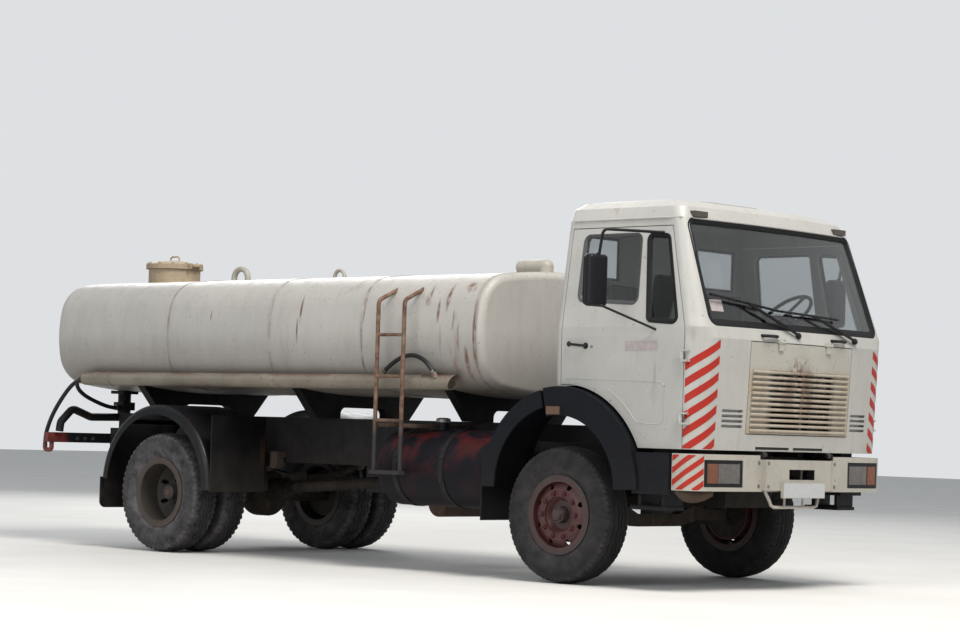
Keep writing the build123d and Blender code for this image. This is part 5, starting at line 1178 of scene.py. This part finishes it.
s = Shape()
for pivot, far, near in WIPERS:
    pivot, far, near = Vector(pivot), Vector(far), Vector(near)
    middle = (far + near) / 2
    s.tube([screen_point(*pivot, 0.020), screen_point(*pivot.lerp(middle, 0.3), 0.032), screen_point(*middle, 0.026)],
           0.011, 10, squash=0.6)
    blade = [screen_point(*far.lerp(near, k / 12), 0.010) for k in range(13)]
    s.tube(blade, 0.011, 8, squash=0.55)
    s.tube([p + Vector((0.012, 0, 0)) for p in blade[3:10]], 0.006, 8)
    s.lathe([(0.024, 0.0), (0.024, 0.016), (0.018, 0.024), (0.0, 0.026)], screen_point(*pivot, 0.0), (1, 0, 0.3), 20,
            ends=False)
s.piece("wiper_blades", "black", "cab")


# Floor and light
def stage():
    t = Tree("floor_paint")
    t.set("Base Color", t.mix(t.cloud(0.3, 0.7, 0.8, 4.0), (0.62, 0.60, 0.57), (0.68, 0.66, 0.63)))
    t.set("Roughness", 0.9)
    mesh = bpy.data.meshes.new("floor")
    reach = 60.0
    corners = [(-reach, -reach, 0), (reach, -reach, 0), (reach, reach, 0), (-reach, reach, 0)]
    mesh.from_pydata(corners, [], [(0, 1, 2, 3)])
    mesh.materials.append(t.mat)
    add_object("floor", mesh)


def lamp(name, place, target, size, power, color=(1, 1, 1)):
    light = bpy.data.lights.new(name, "AREA")
    light.shape = "DISK"
    light.size = size
    light.energy = power
    light.color = color
    obj = add_object(name, light)
    obj.location = place
    obj.rotation_euler = (Vector(target) - Vector(place)).to_track_quat("-Z", "Y").to_euler()


stage()
lamp("key", (9.0, -3.0, 14.0), (0, 0, 1.2), 7.0, 2600, (1.0, 0.97, 0.92))
lamp("fill", (4.0, -16.0, 7.0), (0, 0, 1.2), 10.0, 900, (0.93, 0.96, 1.0))
lamp("back", (-12.0, 9.0, 9.0), (0, 0, 1.2), 9.0, 900)

# The world lights the truck; rays from the camera, gloss and glass see a brighter backdrop instead
WORLD_LIGHT = ((0.86, 0.93, 1.0, 1), 0.50)
BACKDROP = ((0.86, 0.88, 0.90, 1), 0.85)
world = bpy.data.worlds.new("world")
bpy.context.scene.world = world
world.use_nodes = True
nodes = world.node_tree.nodes
links = world.node_tree.links
nodes.clear()
path = nodes.new("ShaderNodeLightPath")
seen = path.outputs["Is Camera Ray"]
for ray in ("Is Glossy Ray", "Is Transmission Ray"):
    either = nodes.new("ShaderNodeMath")
    either.operation = "MAXIMUM"
    links.new(seen, either.inputs[0])
    links.new(path.outputs[ray], either.inputs[1])
    seen = either.outputs[0]
mixer = nodes.new("ShaderNodeMixShader")
links.new(seen, mixer.inputs[0])
for index, (color, strength) in enumerate((WORLD_LIGHT, BACKDROP), 1):
    sky = nodes.new("ShaderNodeBackground")
    sky.inputs[0].default_value = color
    sky.inputs[1].default_value = strength
    links.new(sky.outputs[0], mixer.inputs[index])
links.new(mixer.outputs[0], nodes.new("ShaderNodeOutputWorld").inputs[0])
